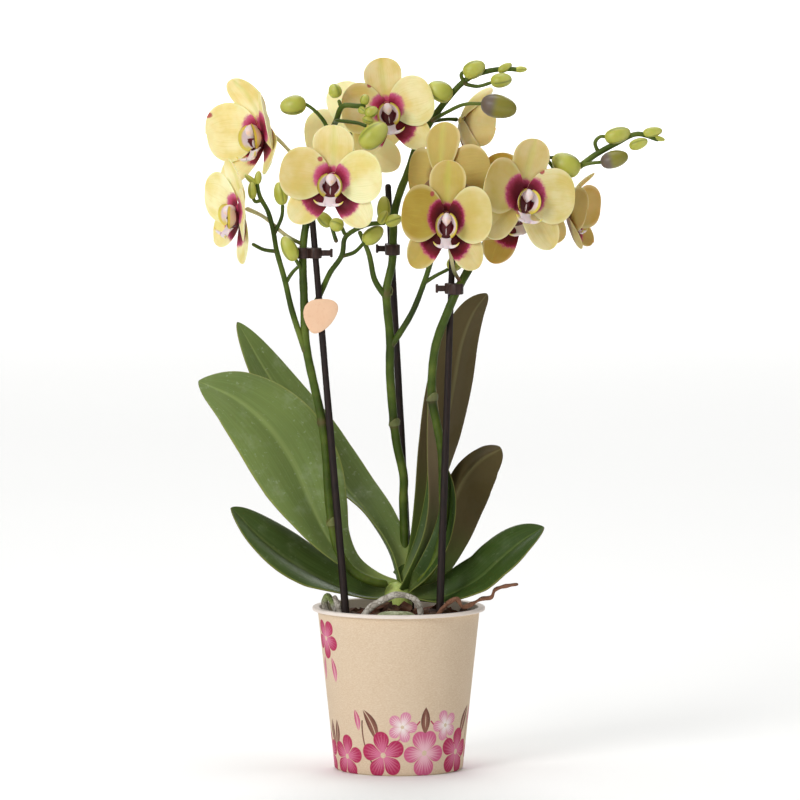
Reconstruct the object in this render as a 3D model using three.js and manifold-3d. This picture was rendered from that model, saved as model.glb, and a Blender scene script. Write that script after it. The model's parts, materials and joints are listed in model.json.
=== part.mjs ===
// Potted moth orchid: three flower spikes on canes in a tapered 9 cm pot.
//
// Millimetres, +Z up. The origin is the centre of the pot's flat base. The plant's
// show side faces -Y, so +X is to the viewer's right and +Y is away from the viewer.

import * as THREE from 'three';
import { mergeVertices } from 'three/addons/utils/BufferGeometryUtils.js';
import Module from 'manifold-3d';

const wasm = await Module();
wasm.setup();

// ---------------------------------------------------------------- driving dimensions

const GAP = 0.3;                 // air between neighbouring pieces

const POT_HEIGHT = 85;
const POT_BASE_RADIUS = 33.4;
const POT_TOP_RADIUS = 42.4;
const POT_WALL = 1.1;
const POT_FLOOR = 1.6;
const RIM_RADIUS = 45;
const RIM_HEIGHT = 1.8;
const BARK_LEVEL = 79;           // mean height of the bark in the pot
const CANE_RADIUS = [2.1, 1.6];  // at the bark, at the top
const STEM_RADIUS = 2.1;         // main flower stem, halfway up
const TWIG_RADIUS = 1.4;        // side branch of a flower stem
const PEDICEL_RADIUS = 1;      // stalk of one bloom or bud
const LEAF_THICKNESS = 1.5;
const TEPAL_THICKNESS = 0.7;
const BLOOM_RADIUS = 27;         // centre of a bloom to the tip of a petal
const HUB_RADIUS = 2.4;          // where the five tepals join
const ROOT_CUP = 8;              // degrees that every tepal stands forward at its root

// ---------------------------------------------------------------- small helpers

const vec = (p) => new THREE.Vector3(p[0], p[1], p[2]);
const mix = (a, b, t) => a + (b - a) * t;
const degrees = (angle) => angle * Math.PI / 180;

// A repeatable draw of numbers from 0 to 1.
function seeded(seed) {
  let state = seed;
  return () => {
    state = (state * 1664525 + 1013904223) % 4294967296;
    return state / 4294967296;
  };
}

function closedGeometry(points, triangles) {
  const geometry = new THREE.BufferGeometry();
  const flat = points.flatMap((p) => [p.x, p.y, p.z]);
  geometry.setAttribute('position', new THREE.Float32BufferAttribute(flat, 3));
  geometry.setIndex(triangles.flat());
  return geometry;
}

function toManifold(geometry) {
  let bare = geometry.clone();
  bare.deleteAttribute('normal');
  bare.deleteAttribute('uv');
  bare = mergeVertices(bare, 1e-4);
  return new wasm.Manifold(new wasm.Mesh({
    numProp: 3,
    vertProperties: new Float32Array(bare.attributes.position.array),
    triVerts: new Uint32Array(bare.index.array),
  }));
}

// Keeps the largest body only, so that no loose scrap is left by a cut.
function fromManifold(solid) {
  const bodies = solid.decompose();
  bodies.sort((a, b) => b.volume() - a.volume());
  const mesh = bodies[0].getMesh();
  const geometry = new THREE.BufferGeometry();
  geometry.setAttribute('position', new THREE.Float32BufferAttribute(mesh.vertProperties, 3));
  geometry.setIndex(Array.from(mesh.triVerts));
  return geometry;
}

const join = (geometries) => geometries.map(toManifold).reduce((a, b) => a.add(b));
const cut = (solid, geometries) => geometries.map(toManifold).reduce((a, b) => a.subtract(b), solid);

// ---------------------------------------------------------------- shapes of growth

// A round stem along a smooth route. radiusAt(t) runs from 0 to 1 along the route,
// and both ends close in a point that stands out by a third of the radius.
function stem(route, radiusAt, sides = 6, steps = 3 * route.length) {
  const curve = new THREE.CatmullRomCurve3(route.map(vec), false, 'centripetal');
  const frames = curve.computeFrenetFrames(steps, false);
  const points = [];
  const triangles = [];
  for (let i = 0; i <= steps; i += 1) {
    const t = i / steps;
    const centre = curve.getPointAt(t);
    for (let k = 0; k < sides; k += 1) {
      const angle = 2 * Math.PI * k / sides;
      points.push(centre.clone()
        .addScaledVector(frames.normals[i], radiusAt(t) * Math.cos(angle))
        .addScaledVector(frames.binormals[i], radiusAt(t) * Math.sin(angle)));
    }
  }
  for (let i = 0; i < steps; i += 1) {
    for (let k = 0; k < sides; k += 1) {
      const a = i * sides + k;
      const b = i * sides + (k + 1) % sides;
      triangles.push([a, b, b + sides], [a, b + sides, a + sides]);
    }
  }
  const first = points.push(curve.getPointAt(0)
    .addScaledVector(frames.tangents[0], -radiusAt(0) / 3)) - 1;
  const last = points.push(curve.getPointAt(1)
    .addScaledVector(frames.tangents[steps], radiusAt(1) / 3)) - 1;
  for (let k = 0; k < sides; k += 1) {
    const next = (k + 1) % sides;
    triangles.push([first, next, k]);
    triangles.push([last, steps * sides + k, steps * sides + next]);
  }
  return closedGeometry(points, triangles);
}

const taper = (from, to) => (t) => mix(from, to, t);

// A thin blade: surface(u, v) gives a point for u from 0 at the root to 1 at the tip,
// and v from -1 to 1 across. The width is nothing at the tip. Both faces carry the
// same triangles, thickness apart.
function blade(surface, rows, columns, thickness) {
  const rowAt = (i) => 1 - (1 - i / rows) ** 1.5;
  const columnAt = (j) => 2 * j / columns - 1;
  const step = 1e-3;
  const normalAt = (u, v) => {
    const inner = THREE.MathUtils.clamp(u, 0.03, 0.97);
    const along = surface(inner + step, v).sub(surface(inner - step, v));
    const across = surface(inner, v + step).sub(surface(inner, v - step));
    return along.cross(across).normalize();
  };
  const points = [];
  const triangles = [];
  const count = rows * (columns + 1) + 1;
  for (const side of [0.5, -0.5]) {
    for (let i = 0; i < rows; i += 1) {
      for (let j = 0; j <= columns; j += 1) {
        const [u, v] = [rowAt(i), columnAt(j)];
        points.push(surface(u, v).addScaledVector(normalAt(u, v), side * thickness));
      }
    }
    points.push(surface(1, 0).addScaledVector(normalAt(1, 0), side * thickness));
  }
  const tip = count - 1;
  const at = (i, j) => i * (columns + 1) + j;
  const face = [];
  for (let i = 0; i < rows - 1; i += 1) {
    for (let j = 0; j < columns; j += 1) {
      const [a, b, c, d] = [at(i, j), at(i + 1, j), at(i + 1, j + 1), at(i, j + 1)];
      if (j < columns / 2) face.push([a, b, c], [a, c, d]);
      else face.push([a, b, d], [b, c, d]);
    }
  }
  for (let j = 0; j < columns; j += 1) face.push([at(rows - 1, j), tip, at(rows - 1, j + 1)]);
  for (const [a, b, c] of face) {
    triangles.push([a, b, c], [a + count, c + count, b + count]);
  }
  const border = [];
  for (let j = columns; j > 0; j -= 1) border.push([at(0, j), at(0, j - 1)]);
  for (let i = 0; i < rows - 1; i += 1) {
    border.push([at(i, 0), at(i + 1, 0)], [at(i + 1, columns), at(i, columns)]);
  }
  border.push([at(rows - 1, 0), tip], [tip, at(rows - 1, columns)]);
  for (const [a, b] of border) {
    triangles.push([a, a + count, b + count], [a, b + count, b]);
  }
  return closedGeometry(points, triangles);
}

// Share of the full half width at u: a sine rise from the root to the widest place, fast
// for a small rise, then a fall that is round for tip 0.5 and pointed for tip 1.
function outline(u, { widest, root, rise, tip }) {
  if (u < widest) return mix(root, 1, Math.sin(0.5 * Math.PI * u / widest) ** rise);
  return (1 - ((u - widest) / (1 - widest)) ** 2) ** tip;
}

// A bud from its stalk end to its tip, a little fuller near the stalk.
function bud(base, tip, radius) {
  const sides = radius > 3 ? 6 : 5;
  const axis = vec(tip).sub(vec(base));
  const length = axis.length();
  const profile = [];
  const rings = 4;
  for (let i = 0; i <= rings; i += 1) {
    const angle = Math.PI * i / rings;
    const along = 0.5 - 0.5 * Math.cos(angle);
    const fullness = Math.sin(angle) * (1.08 - 0.16 * along);
    profile.push(new THREE.Vector2(i % rings === 0 ? 0 : radius * fullness, length * along));
  }
  const geometry = new THREE.LatheGeometry(profile, sides);
  const turn = new THREE.Quaternion()
    .setFromUnitVectors(new THREE.Vector3(0, 1, 0), axis.normalize());
  geometry.applyQuaternion(turn);
  geometry.translate(...base);
  return geometry;
}

// ---------------------------------------------------------------- pot

const potOuterRadius = (z) => mix(POT_BASE_RADIUS, POT_TOP_RADIUS, z / POT_HEIGHT);
const potInnerRadius = (z) => potOuterRadius(z) - POT_WALL;

// A solid of revolution about Z from [radius, height] pairs that start and end on the axis.
function lathe(profile, segments) {
  const points = profile.map(([radius, height]) => new THREE.Vector2(radius, height));
  return new THREE.LatheGeometry(points, segments).rotateX(0.5 * Math.PI);
}

// The tapered cup with the flat flange round its mouth.
function potGeometry() {
  const rimBottom = POT_HEIGHT - RIM_HEIGHT;
  const foot = 1;
  return lathe([
    [0, 0],
    [POT_BASE_RADIUS - foot, 0],
    [potOuterRadius(foot), foot],
    [potOuterRadius(rimBottom), rimBottom],
    [RIM_RADIUS, rimBottom],
    [RIM_RADIUS, POT_HEIGHT],
    [potInnerRadius(POT_HEIGHT), POT_HEIGHT],
    [potInnerRadius(POT_FLOOR), POT_FLOOR],
    [0, POT_FLOOR],
  ], 32);
}

// ---------------------------------------------------------------- crown and leaves

// The short stem that all the leaves clasp: [radius, height] up its axis.
const CROWN = {
  centre: [-0.5, 1],
  profile: [[0, 62], [6, 62], [7, 78], [7.6, 87], [7.4, 93], [4.5, 97], [0, 98]],
};

function crownGeometry(grow = 0) {
  const profile = CROWN.profile.map(([radius, height], i, all) => {
    const lift = i < 2 ? -grow : (i >= all.length - 2 ? grow : 0);
    return [radius === 0 ? 0 : radius + grow, height + lift];
  });
  return lathe(profile, 10).translate(...CROWN.centre, 0);
}

// Each leaf follows its midrib from the crown to its tip. face: the way the upper side
// looks, at the root and at the tip. half: greatest half width. widest: where that is.
// fold: degrees that each half rises from the midrib, at the root and at the tip.
const LEAVES = {
  lower_left: {
    midrib: [[0, -1, 91.5], [-14, -3, 90], [-31, -5, 95], [-56.5, -10, 109], [-73, -13, 122.5],
      [-87, -15, 138]],
    face: [[0.2, -0.5, 1], [0.35, -0.55, 0.8]],
    half: 19, widest: 0.6, root: 0.3, rise: 1.4, tip: 0.7, fold: [42, 14],
  },
  lower_right: {
    midrib: [[6.5, -2, 89], [22.5, -4.5, 89.5], [41, -8, 99], [52.5, -10, 109.5], [64, -11, 119.5],
      [75.5, -12, 127.5]],
    face: [[-0.2, -0.5, 1], [-0.3, -0.55, 0.8]],
    half: 17.5, widest: 0.55, root: 0.4, rise: 1.1, tip: 0.7, fold: [42, 12],
  },
  broad_left: {
    midrib: [[-0.5, 3, 95.5], [-13, 0, 100], [-25.5, -1, 107], [-36.5, 0, 119.5], [-45, 2, 136.5],
      [-54.5, 5, 158], [-67, 8, 176.5], [-84, 11, 191.5], [-104.5, 13, 201.5]],
    face: [[0.2, -0.8, 0.7], [0.35, -0.9, 0.4]],
    half: 25.5, widest: 0.62, root: 0.12, rise: 2, tip: 0.75, fold: [50, 8],
  },
  short_right: {
    midrib: [[6.5, 1, 95], [14, 3, 103.5], [22, 5, 121], [29, 6, 140], [35, 6, 152.5], [43, 5, 161],
      [53.5, 3, 167]],
    face: [[0.1, 0.9, 0.4], [0.6, 0.8, -0.2]],
    half: 18.5, widest: 0.6, root: 0.75, rise: 1, tip: 0.55, fold: [45, 46],
  },
  back_left: {
    midrib: [[1, 4, 94], [-3.8, 10.4, 111.5], [-13.8, 18, 128], [-28.5, 28.5, 144.5], [-45.5, 38, 168],
      [-59.5, 44, 187], [-72, 49, 206.5], [-85, 52, 229.5]],
    face: [[0.7, -0.5, 0.5], [0.5, -0.8, 0.3]],
    half: 18, widest: 0.5, root: 0.45, rise: 1.2, tip: 0.7, fold: [54, 14],
  },
  tall_right: {
    midrib: [[4, 3, 94], [11, 11, 111.5], [18.5, 17, 142], [24, 19, 173], [28.5, 18, 199],
      [33, 16, 222.5], [39, 13, 238], [46, 11, 247.5]],
    face: [[-0.7, 0.4, 0.4], [-0.5, 0.9, 0.1]],
    half: 15.5, widest: 0.64, root: 0.35, rise: 1.1, tip: 0.62, fold: [45, 14],
  },
  folded_centre: {
    midrib: [[3.5, -1, 93], [10, -1, 105], [18, 0, 122], [22.5, 1, 141], [22.5, 2, 162], [20, 2, 188],
      [17, 2, 217]],
    face: [[-0.8, -0.3, 0.6], [-0.95, 0.2, 0.1]],
    half: 11, widest: 0.4, root: 0.7, rise: 1.1, tip: 0.8, fold: [50, 56],
  },
  inner_right: {
    midrib: [[6, -2, 94], [13, -6, 102], [21.5, -8, 116], [26, -9, 132.5], [26.5, -9, 147], [25, -9, 158]],
    face: [[-0.3, -0.8, 0.5], [-0.5, -0.8, 0.2]],
    half: 7, widest: 0.4, root: 0.8, rise: 1.1, tip: 0.7, fold: [50, 30],
  },
};

function leafGeometry(leaf, grow = 0) {
  const curve = new THREE.CatmullRomCurve3(leaf.midrib.map(vec), false, 'centripetal');
  const surface = (u, v) => {
    const centre = curve.getPointAt(u);
    const along = curve.getTangentAt(u);
    const face = vec(leaf.face[0]).lerp(vec(leaf.face[1]), u);
    const side = along.clone().cross(face).normalize();
    const up = side.clone().cross(along).normalize();
    const half = (leaf.half + grow) * outline(u, leaf) * v;
    const rise = degrees(mix(leaf.fold[0], leaf.fold[1], Math.min(2 * u, 1)));
    return centre
      .addScaledVector(side, half * Math.cos(rise))
      .addScaledVector(up, Math.abs(half) * Math.sin(rise));
  };
  return blade(surface, 8, 4, LEAF_THICKNESS + 2 * grow);
}

// Leaves in the order in which they sheathe the crown, innermost first: each is cut
// clear of the crown, of the flower stems and of the leaves inside it.
const SHEATHING = [
  'folded_centre', 'tall_right', 'back_left', 'short_right', 'inner_right', 'broad_left', 'lower_right',
  'lower_left',
];

// ---------------------------------------------------------------- canes, clips and tag

const CANE_FOOT = 44;            // height of the canes' lower ends inside the pot

// Each cane is straight: the point where it leaves the bark, and its top.
const CANES = {
  left: { foot: [-27.8, -21.5, 88], top: [-44.9, -8, 289.6] },
  middle: { foot: [5.9, 25, 86], top: [-5.6, 8, 304.9] },
  right: { foot: [21.4, -22, 88], top: [27.8, -14, 270.8] },
};

const caneAt = (cane, z) => {
  const t = (z - cane.foot[2]) / (cane.top[2] - cane.foot[2]);
  return [0, 1, 2].map((axis) => mix(cane.foot[axis], cane.top[axis], t));
};

function caneGeometry(cane, grow = 0) {
  const radii = taper(CANE_RADIUS[0] + grow, CANE_RADIUS[1] + grow);
  return stem([caneAt(cane, CANE_FOOT), caneAt(cane, 150), cane.top], radii, 8, 3);
}

// A clip holds a flower stem to its cane: one ring round each, a bridge and a thumb tab.
const CLIPS = {
  left: { height: 270, stemCentre: [-49.6, -9], tab: 5 },
  middle: { height: 271, stemCentre: [-3.2, 1.4], tab: -4 },
  right: { height: 252, stemCentre: [29.6, -19.2], tab: -4 },
};
const CLIP_HEIGHT = 5.6;
const CLIP_WALL = 1.5;
const CLIP_BRIDGE = 3;           // thickness of the web between the two rings
const CLIP_TAB = 1.6;            // thickness of the thumb tab

const ring = (x, y, z, radius, height) => new THREE.CylinderGeometry(radius, radius, height, 8)
  .rotateX(0.5 * Math.PI).translate(x, y, z);

function clipGeometry(clip, cane, spike) {
  const [cx, cy] = caneAt(cane, clip.height);
  const [sx, sy] = clip.stemCentre;
  const span = Math.hypot(sx - cx, sy - cy);
  const bridge = new THREE.BoxGeometry(span, CLIP_BRIDGE, CLIP_HEIGHT * 0.8)
    .rotateZ(Math.atan2(sy - cy, sx - cx)).translate((sx + cx) / 2, (sy + cy) / 2, clip.height);
  const tabReach = Math.sign(clip.tab) * (CANE_RADIUS[1] + CLIP_WALL) + clip.tab / 2;
  const tab = new THREE.BoxGeometry(Math.abs(clip.tab) + 2, CLIP_TAB, CLIP_HEIGHT * 0.55)
    .translate(cx + tabReach, cy, clip.height);
  const solid = join([
    ring(cx, cy, clip.height, CANE_RADIUS[1] + GAP + CLIP_WALL, CLIP_HEIGHT),
    ring(sx, sy, clip.height, STEM_RADIUS + GAP + CLIP_WALL, CLIP_HEIGHT),
    bridge,
    tab,
  ]);
  return fromManifold(cut(solid, [caneGeometry(cane, GAP), mainStem(spike, GAP)]));
}

// A pebble-shaped plate on a short sleeve round the left cane.
const TAG = { height: 237.6, width: 18.6, tall: 18, thickness: 0.9, sleeve: 6 };

function tagGeometry() {
  const [x, y] = caneAt(CANES.left, TAG.height);
  const pebble = new THREE.Shape();
  const [w, h] = [TAG.width / 2, TAG.tall / 2];
  pebble.moveTo(-0.72 * w, -0.62 * h);
  pebble.bezierCurveTo(-1.12 * w, 0.1 * h, -1.05 * w, 0.92 * h, -0.1 * w, 0.99 * h);
  pebble.bezierCurveTo(0.8 * w, 1.06 * h, 1.12 * w, 0.72 * h, 0.94 * w, 0.2 * h);
  pebble.bezierCurveTo(0.7 * w, -0.5 * h, 0.1 * w, -0.98 * h, -0.3 * w, -h);
  pebble.bezierCurveTo(-0.5 * w, -h, -0.6 * w, -0.85 * h, -0.72 * w, -0.62 * h);
  const plate = new THREE.ExtrudeGeometry(pebble, {
    depth: TAG.thickness, bevelEnabled: false, curveSegments: 6,
  });
  const front = CANE_RADIUS[0] + GAP + TAG.thickness + 0.4;
  plate.rotateX(0.5 * Math.PI).translate(x, y - front + TAG.thickness, TAG.height);
  const sleeve = ring(x, y, TAG.height, CANE_RADIUS[0] + GAP + 1, TAG.sleeve);
  return fromManifold(cut(join([plate, sleeve]), [caneGeometry(CANES.left, GAP)]));
}

// ---------------------------------------------------------------- flower spikes

// Routes run from the crown upwards. A stalk is [start, ..., end] and a bud is
// [base, tip, radius], and both are fused into the spike that bears them.
const SPIKES = {
  left: {
    main: [
      [-6, -6, 97], [-15, -11.5, 99.5], [-24.3, -13.5, 105], [-31.5, -12.5, 115.9], [-35.6, -12, 136.7],
      [-37.7, -12, 165.9], [-39.7, -12, 182.5], [-43.9, -12, 201.8], [-48, -12, 222.4],
      [-49, -11, 245.7], [-49.6, -9, 270.5], [-48, -6, 284.3], [-43.9, 0, 296.9],
      [-38.8, 4, 314.9], [-35.6, 0, 330.7], [-32.4, -10, 338.4], [-28.7, -17, 346.5],
      [-21, -19, 346.6], [-16.9, -19, 346.6],
    ],
    twigs: [
      [[-48, -12.5, 218], [-55.3, -12, 240.5], [-58.9, -12, 255.9], [-63.1, -13, 271.3],
        [-65.1, -14, 282.8], [-67.7, -15, 292.1], [-71.8, -16, 299.9], [-73.5, -17, 308.5]],
      [[-48.6, -11.6, 228], [-45, -7.5, 239], [-40, -6.5, 250], [-35.5, -13, 260], [-29.3, -20, 269.7],
        [-27.7, -20, 278.5],
        [-23.6, -19, 282], [-15, -18, 285.5], [-6.6, -18, 286.1]],
    ],
    stalks: [
      [[-36, 0, 330], [-38.2, 0, 336.9], [-43.9, 0, 343.7], [-48.6, 0, 347]],
      [[-29.5, -16, 345], [-31, -13, 349.5]],
      [[-33, -10, 338], [-30.8, -20, 339], [-21, -24, 338], [-16.5, -26, 336.5]],
      [[-64.5, -13.5, 280], [-60.5, -13, 289], [-60, -12, 295.5]],
      [[-70.5, -16, 298], [-74, -18, 297.2], [-75.4, -18.5, 299.5]],
      [[-63, -13, 271], [-70, -12, 272], [-76, -12, 275]],
      [[-58.9, -12, 254], [-55, -11, 260], [-51.8, -11, 263.2]],
      [[-50.5, -11, 262], [-53.6, -15, 267.5]],
      [[-27.7, -20, 280], [-29.5, -20, 284.5]],
      [[-32, -20, 276], [-35, -17, 285]],
      [[-29.5, -20, 269], [-23, -19, 271], [-17.2, -16.5, 276.5]],
    ],
    buds: [
      [[-48, 0, 347.3], [-61.5, 0, 344.7], 5.2],
      [[-31.6, -12.5, 350.6], [-34.2, -12, 357.8], 3.5],
      [[-18.4, -18.5, 347.2], [-16.6, -18.3, 352.6], 2.4],
      [[-20.4, -19.5, 345.4], [-17.2, -21.6, 343.4], 2],
      [[-17.5, -20, 342], [-10.8, -20, 345.2], 3],
      [[-18.6, -20.6, 340.2], [-13, -21.4, 338.4], 2.3],
      [[-19.4, -27, 325.9], [-6.5, -27, 337.7], 5.8],
      [[-60, -12, 295], [-62, -12, 307], 3.6],
      [[-75.4, -18.5, 298.4], [-76, -18.5, 307.4], 2.3],
      [[-73, -17, 306], [-72.2, -17, 313], 1.9],
      [[-73.5, -17, 306], [-79.4, -17, 310.9], 1.6],
      [[-53.6, -15, 266.4], [-59.6, -15, 279], 4],
      [[-28.6, -20, 284], [-35.6, -20, 286.9], 3.6],
      [[-35, -17, 284.5], [-42, -16, 291.2], 3.4],
      [[-7.8, -16, 287], [-7.6, -14, 299.8], 3.5],
      [[-10, -18, 285.6], [-6, -18, 292.4], 2.6],
      [[-7, -18, 286], [1.5, -18, 288.9], 3.2],
      [[-18.2, -16, 275.8], [-8.4, -16, 283.6], 4.2],
    ],
    blooms: {
      a: [[-39, 4, 315], [-54, 6, 320], [-61.7, 10, 327]],
      b: [[-49, -8, 274], [-58, -11, 279], [-70, -12, 289]],
      c: [[-44, 0, 297], [-38, -12, 306]],
      e: [[-38.8, 4, 315], [-30, 6, 326]],
    },
  },
  middle: {
    main: [
      [2, 11, 98], [3, 14, 113], [2.4, 13, 139.6], [2.6, 10, 151.8], [-0.9, 6, 168.8],
      [-2.7, 3, 183.1], [-4.5, 1, 207.2], [-4.5, 0.5, 225.4], [-6.3, 0.5, 250],
      [-3.5, 1, 263.5], [-2.8, 2, 279.1], [-2.3, 3, 289.7], [0.9, 5, 301.3],
      [5.1, 8, 311.8], [9.4, 10, 324.5], [16.8, 10, 337.2], [25.2, 6, 349],
      [35.8, 3, 359.7], [47.3, 1, 364], [57.7, 0, 364.9], [64.4, 0, 364.1],
    ],
    twigs: [
      [[-6.3, 0.5, 246], [-12.3, -2, 255.3], [-15.4, -5, 269.1], [-20.5, -9, 281.5]],
      [[-4.4, 0.5, 220], [6.7, -3, 238.1], [12.9, -7, 253.7], [16.1, -11, 263.8],
        [21, -18, 283], [24.5, -21.5, 300]],
    ],
    stalks: [
      [[34, 3, 357.5], [32.4, 1, 362], [35, 0, 364.5]],
      [[34, 3, 357], [41, -1, 356], [48.5, -4, 358.2]],
      [[16.9, 8, 337.5], [24, 1, 342], [34, -5, 346.8], [43.5, -9, 347.4]],
      [[12.9, -7, 254], [19, -8, 258], [26, -8, 261.6]],
    ],
    buds: [
      [[27.4, 4, 350], [15.4, 2, 356.5], 5.4],
      [[33.6, 0, 362], [44.6, 0, 367.5], 4.6],
      [[47.6, -4.5, 358.4], [58.6, -5, 360], 3.9],
      [[42.6, -9.5, 348], [61, -10, 344], 6.2],
      [[51.5, 0, 363.5], [58.6, 0, 367.6], 2.2],
      [[60, 0, 364.6], [66.5, 0, 364.8], 1.7],
      [[25.8, -8, 261.5], [34.2, -8, 269.3], 4],
    ],
    blooms: {
      d: [[9.4, 10, 324.5], [0, 11, 337]],
      g: [[24, -21, 298], [25.5, -21, 306]],
      h: [[16.8, 10, 337.2], [25, 18, 338]],
    },
  },
  right: {
    main: [
      [10, -4.5, 97], [17, -7, 105], [23, -9, 125.5], [23, -12, 146.8], [22.4, -13, 165.7],
      [19.9, -13, 180.9], [17.3, -13, 194.1], [17.7, -14, 212.5], [19.8, -17, 225.1],
      [24.4, -19.5, 237.9], [29.6, -19.4, 250], [34, -15, 258], [39.3, -7, 266.4],
      [47.3, 8, 276.5], [54.9, 14, 286.9], [68.1, 14, 299.5], [83.7, 7, 309.4],
      [91.9, -2, 313.3], [102.4, -2, 320.8], [112, -2, 326.1], [123.5, -2, 331.3],
      [135.2, -2, 328.2],
    ],
    twigs: [],
    stalks: [
      [[85, 6, 310], [81, -1, 313], [77.4, -4, 318.6], [81.5, -6, 319.6]],
      [[103.5, -2, 321.5], [101.8, -3, 327], [104.5, -3, 330], [108, -3, 329.8]],
      [[91, -1, 313], [98, -5, 316], [106, -6, 317]],
    ],
    buds: [
      [[93.4, -7, 311.6], [79.8, -6, 319.6], 6],
      [[106.8, -3, 328.8], [120, -3, 332.8], 4.2],
      [[104.6, -6, 316.4], [118.8, -6, 320.4], 4.6],
      [[119.5, -2.5, 324.6], [129, -3, 328], 3],
      [[126.5, -2, 331.4], [136.6, -2, 333.2], 2.7],
      [[132, -2, 329.5], [138, -2, 328.2], 1.4],
    ],
    blooms: {
      f: [[31.8, -17.4, 255.6], [28.5, -22, 262], [25.5, -28, 280]],
      i: [[78, 11, 306], [73, 6, 315], [67.5, -4, 318], [64.5, -13, 312]],
      j: [[83.7, 7, 309.4], [83.5, 12, 303]],
      k: [[54.9, 14, 286.9], [57.5, 9.5, 288]],
    },
  },
};

function mainStem(spike, grow = 0) {
  const radiusAt = (t) => STEM_RADIUS * mix(1.1, 0.6, t ** 3) + grow;
  return stem(spike.main, radiusAt, 6, Math.round(1.1 * spike.main.length));
}

function spikeGeometry(spike) {
  const parts = [mainStem(spike)];
  const pedicel = taper(PEDICEL_RADIUS, PEDICEL_RADIUS);
  const branch = taper(TWIG_RADIUS * 1.2, TWIG_RADIUS * 0.8);
  for (const twig of spike.twigs) parts.push(stem(twig, branch, 5, 7));
  for (const stalk of spike.stalks) parts.push(stem(stalk, pedicel, 3, stalk.length));
  for (const [base, tip, radius] of spike.buds) parts.push(bud(base, tip, radius));
  for (const [letter, route] of Object.entries(spike.blooms)) {
    parts.push(stem([...route, bloomBack(BLOOMS[letter])], pedicel, 4, route.length + 1));
  }
  return fromManifold(join(parts));
}

// ---------------------------------------------------------------- blooms

// centre: where the tepals join. heading: turn of the face to the viewer's right, in
// degrees from -Y. tilt: turn of the face upwards. roll: turn about the face's own
// axis, anticlockwise for the viewer. cup: how far the tepals stand forward. wide: its
// spread across, as a share of its height.
const BLOOMS = {
  a: { centre: [-71, 8, 333], heading: -52, tilt: 0, roll: 13, cup: 32, size: 1.12, wide: 0.98 },
  b: { centre: [-82, -10, 293], heading: -66, tilt: -4, roll: -14, cup: 17, size: 1, wide: 1 },
  c: { centre: [-34, -26, 309.8], heading: -8, tilt: 0, roll: -3, cup: 14, size: 1, wide: 1 },
  d: { centre: [-6.2, 4, 344.8], heading: 4, tilt: 0, roll: 8, cup: 18, size: 0.97, wide: 0.95 },
  e: { centre: [-24.3, 16, 331], heading: 172, tilt: 0, roll: -12, cup: 14, size: 0.98, wide: 1 },
  f: { centre: [24.4, -34, 289.9], heading: 2, tilt: 0, roll: -2, cup: 14, size: 1.08, wide: 0.81 },
  g: { centre: [22.5, -16, 309.5], heading: 148, tilt: 0, roll: -5, cup: 14, size: 1.03, wide: 0.92 },
  h: { centre: [33, 25, 337], heading: 104, tilt: -12, roll: 8, cup: 34, size: 0.84, wide: 1 },
  i: { centre: [63.8, -22, 300.8], heading: 26, tilt: 5, roll: -12, cup: 14, size: 1.06, wide: 0.93 },
  j: { centre: [88.5, 15, 291], heading: 78, tilt: -4, roll: 0, cup: 34, size: 0.84, wide: 1 },
  k: { centre: [59.3, -2.5, 293.8], heading: 4, tilt: 0, roll: 19, cup: 8, size: 1.03, wide: 0.96 },
};

// Places geometry or points made in a bloom's own frame, where +Z is its face and +Y
// its upper sepal.
function bloomMatrix(bloom) {
  const turn = new THREE.Quaternion()
    .setFromAxisAngle(new THREE.Vector3(0, 0, 1), degrees(bloom.heading));
  const raise = new THREE.Quaternion()
    .setFromAxisAngle(new THREE.Vector3(1, 0, 0), degrees(90 - bloom.tilt));
  const spin = new THREE.Quaternion()
    .setFromAxisAngle(new THREE.Vector3(0, 0, 1), degrees(bloom.roll));
  const scale = new THREE.Vector3(bloom.wide, 1, 1).multiplyScalar(bloom.size);
  return new THREE.Matrix4().compose(vec(bloom.centre), turn.multiply(raise).multiply(spin), scale);
}

// Kinds of tepal in the bloom's frame. lift: height of the root above the hub. relax:
// degrees by which it stands less forward than the bloom's cup. fold: how far its margins
// stand forward of its midline, on top of the bowl that all five tepals share.
const UPPER_SEPAL = {
  length: 1.055 * BLOOM_RADIUS, half: 10.8, widest: 0.64, root: 0.25, rise: 0.8, tip: 0.5,
  lift: -1, relax: 0, fold: 0.6,
};
const SIDE_SEPAL = {
  length: 1.15 * BLOOM_RADIUS, half: 8.8, widest: 0.62, root: 0.3, rise: 0.6, tip: 0.55,
  lift: -1, relax: 4, fold: 0.9,
};
const PETAL = {
  length: 1.02 * BLOOM_RADIUS, half: 13.8, widest: 0.54, root: 0.2, rise: 0.7, tip: 0.4,
  lift: 1.4, relax: 0, fold: -0.5,
};
// The five tepals, with the way each points in degrees from +X.
const TEPALS = [[UPPER_SEPAL, 90], [SIDE_SEPAL, 229], [SIDE_SEPAL, 311], [PETAL, 7], [PETAL, 173]];

function tepalGeometry(tepal, direction, cup) {
  const angle = degrees(direction);
  const radial = new THREE.Vector3(Math.cos(angle), Math.sin(angle), 0);
  const lateral = new THREE.Vector3(-radial.y, radial.x, 0);
  const face = new THREE.Vector3(0, 0, 1);
  const inset = 1.6;
  const surface = (u, v) => {
    const turn = degrees(mix(ROOT_CUP, cup - tepal.relax, u));
    const run = (tepal.length - inset) * u;
    const reach = inset + run * Math.cos(turn);
    const side = tepal.half * outline(u, tepal) * v;
    const bowl = (Math.hypot(reach, side) - reach) * Math.tan(turn);
    const margin = tepal.fold * (Math.abs(side) / tepal.half) ** 1.5;
    return new THREE.Vector3()
      .addScaledVector(radial, reach)
      .addScaledVector(lateral, side)
      .addScaledVector(face, tepal.lift + run * Math.sin(turn) + bowl + margin);
  };
  return blade(surface, 4, 2, TEPAL_THICKNESS);
}

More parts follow.
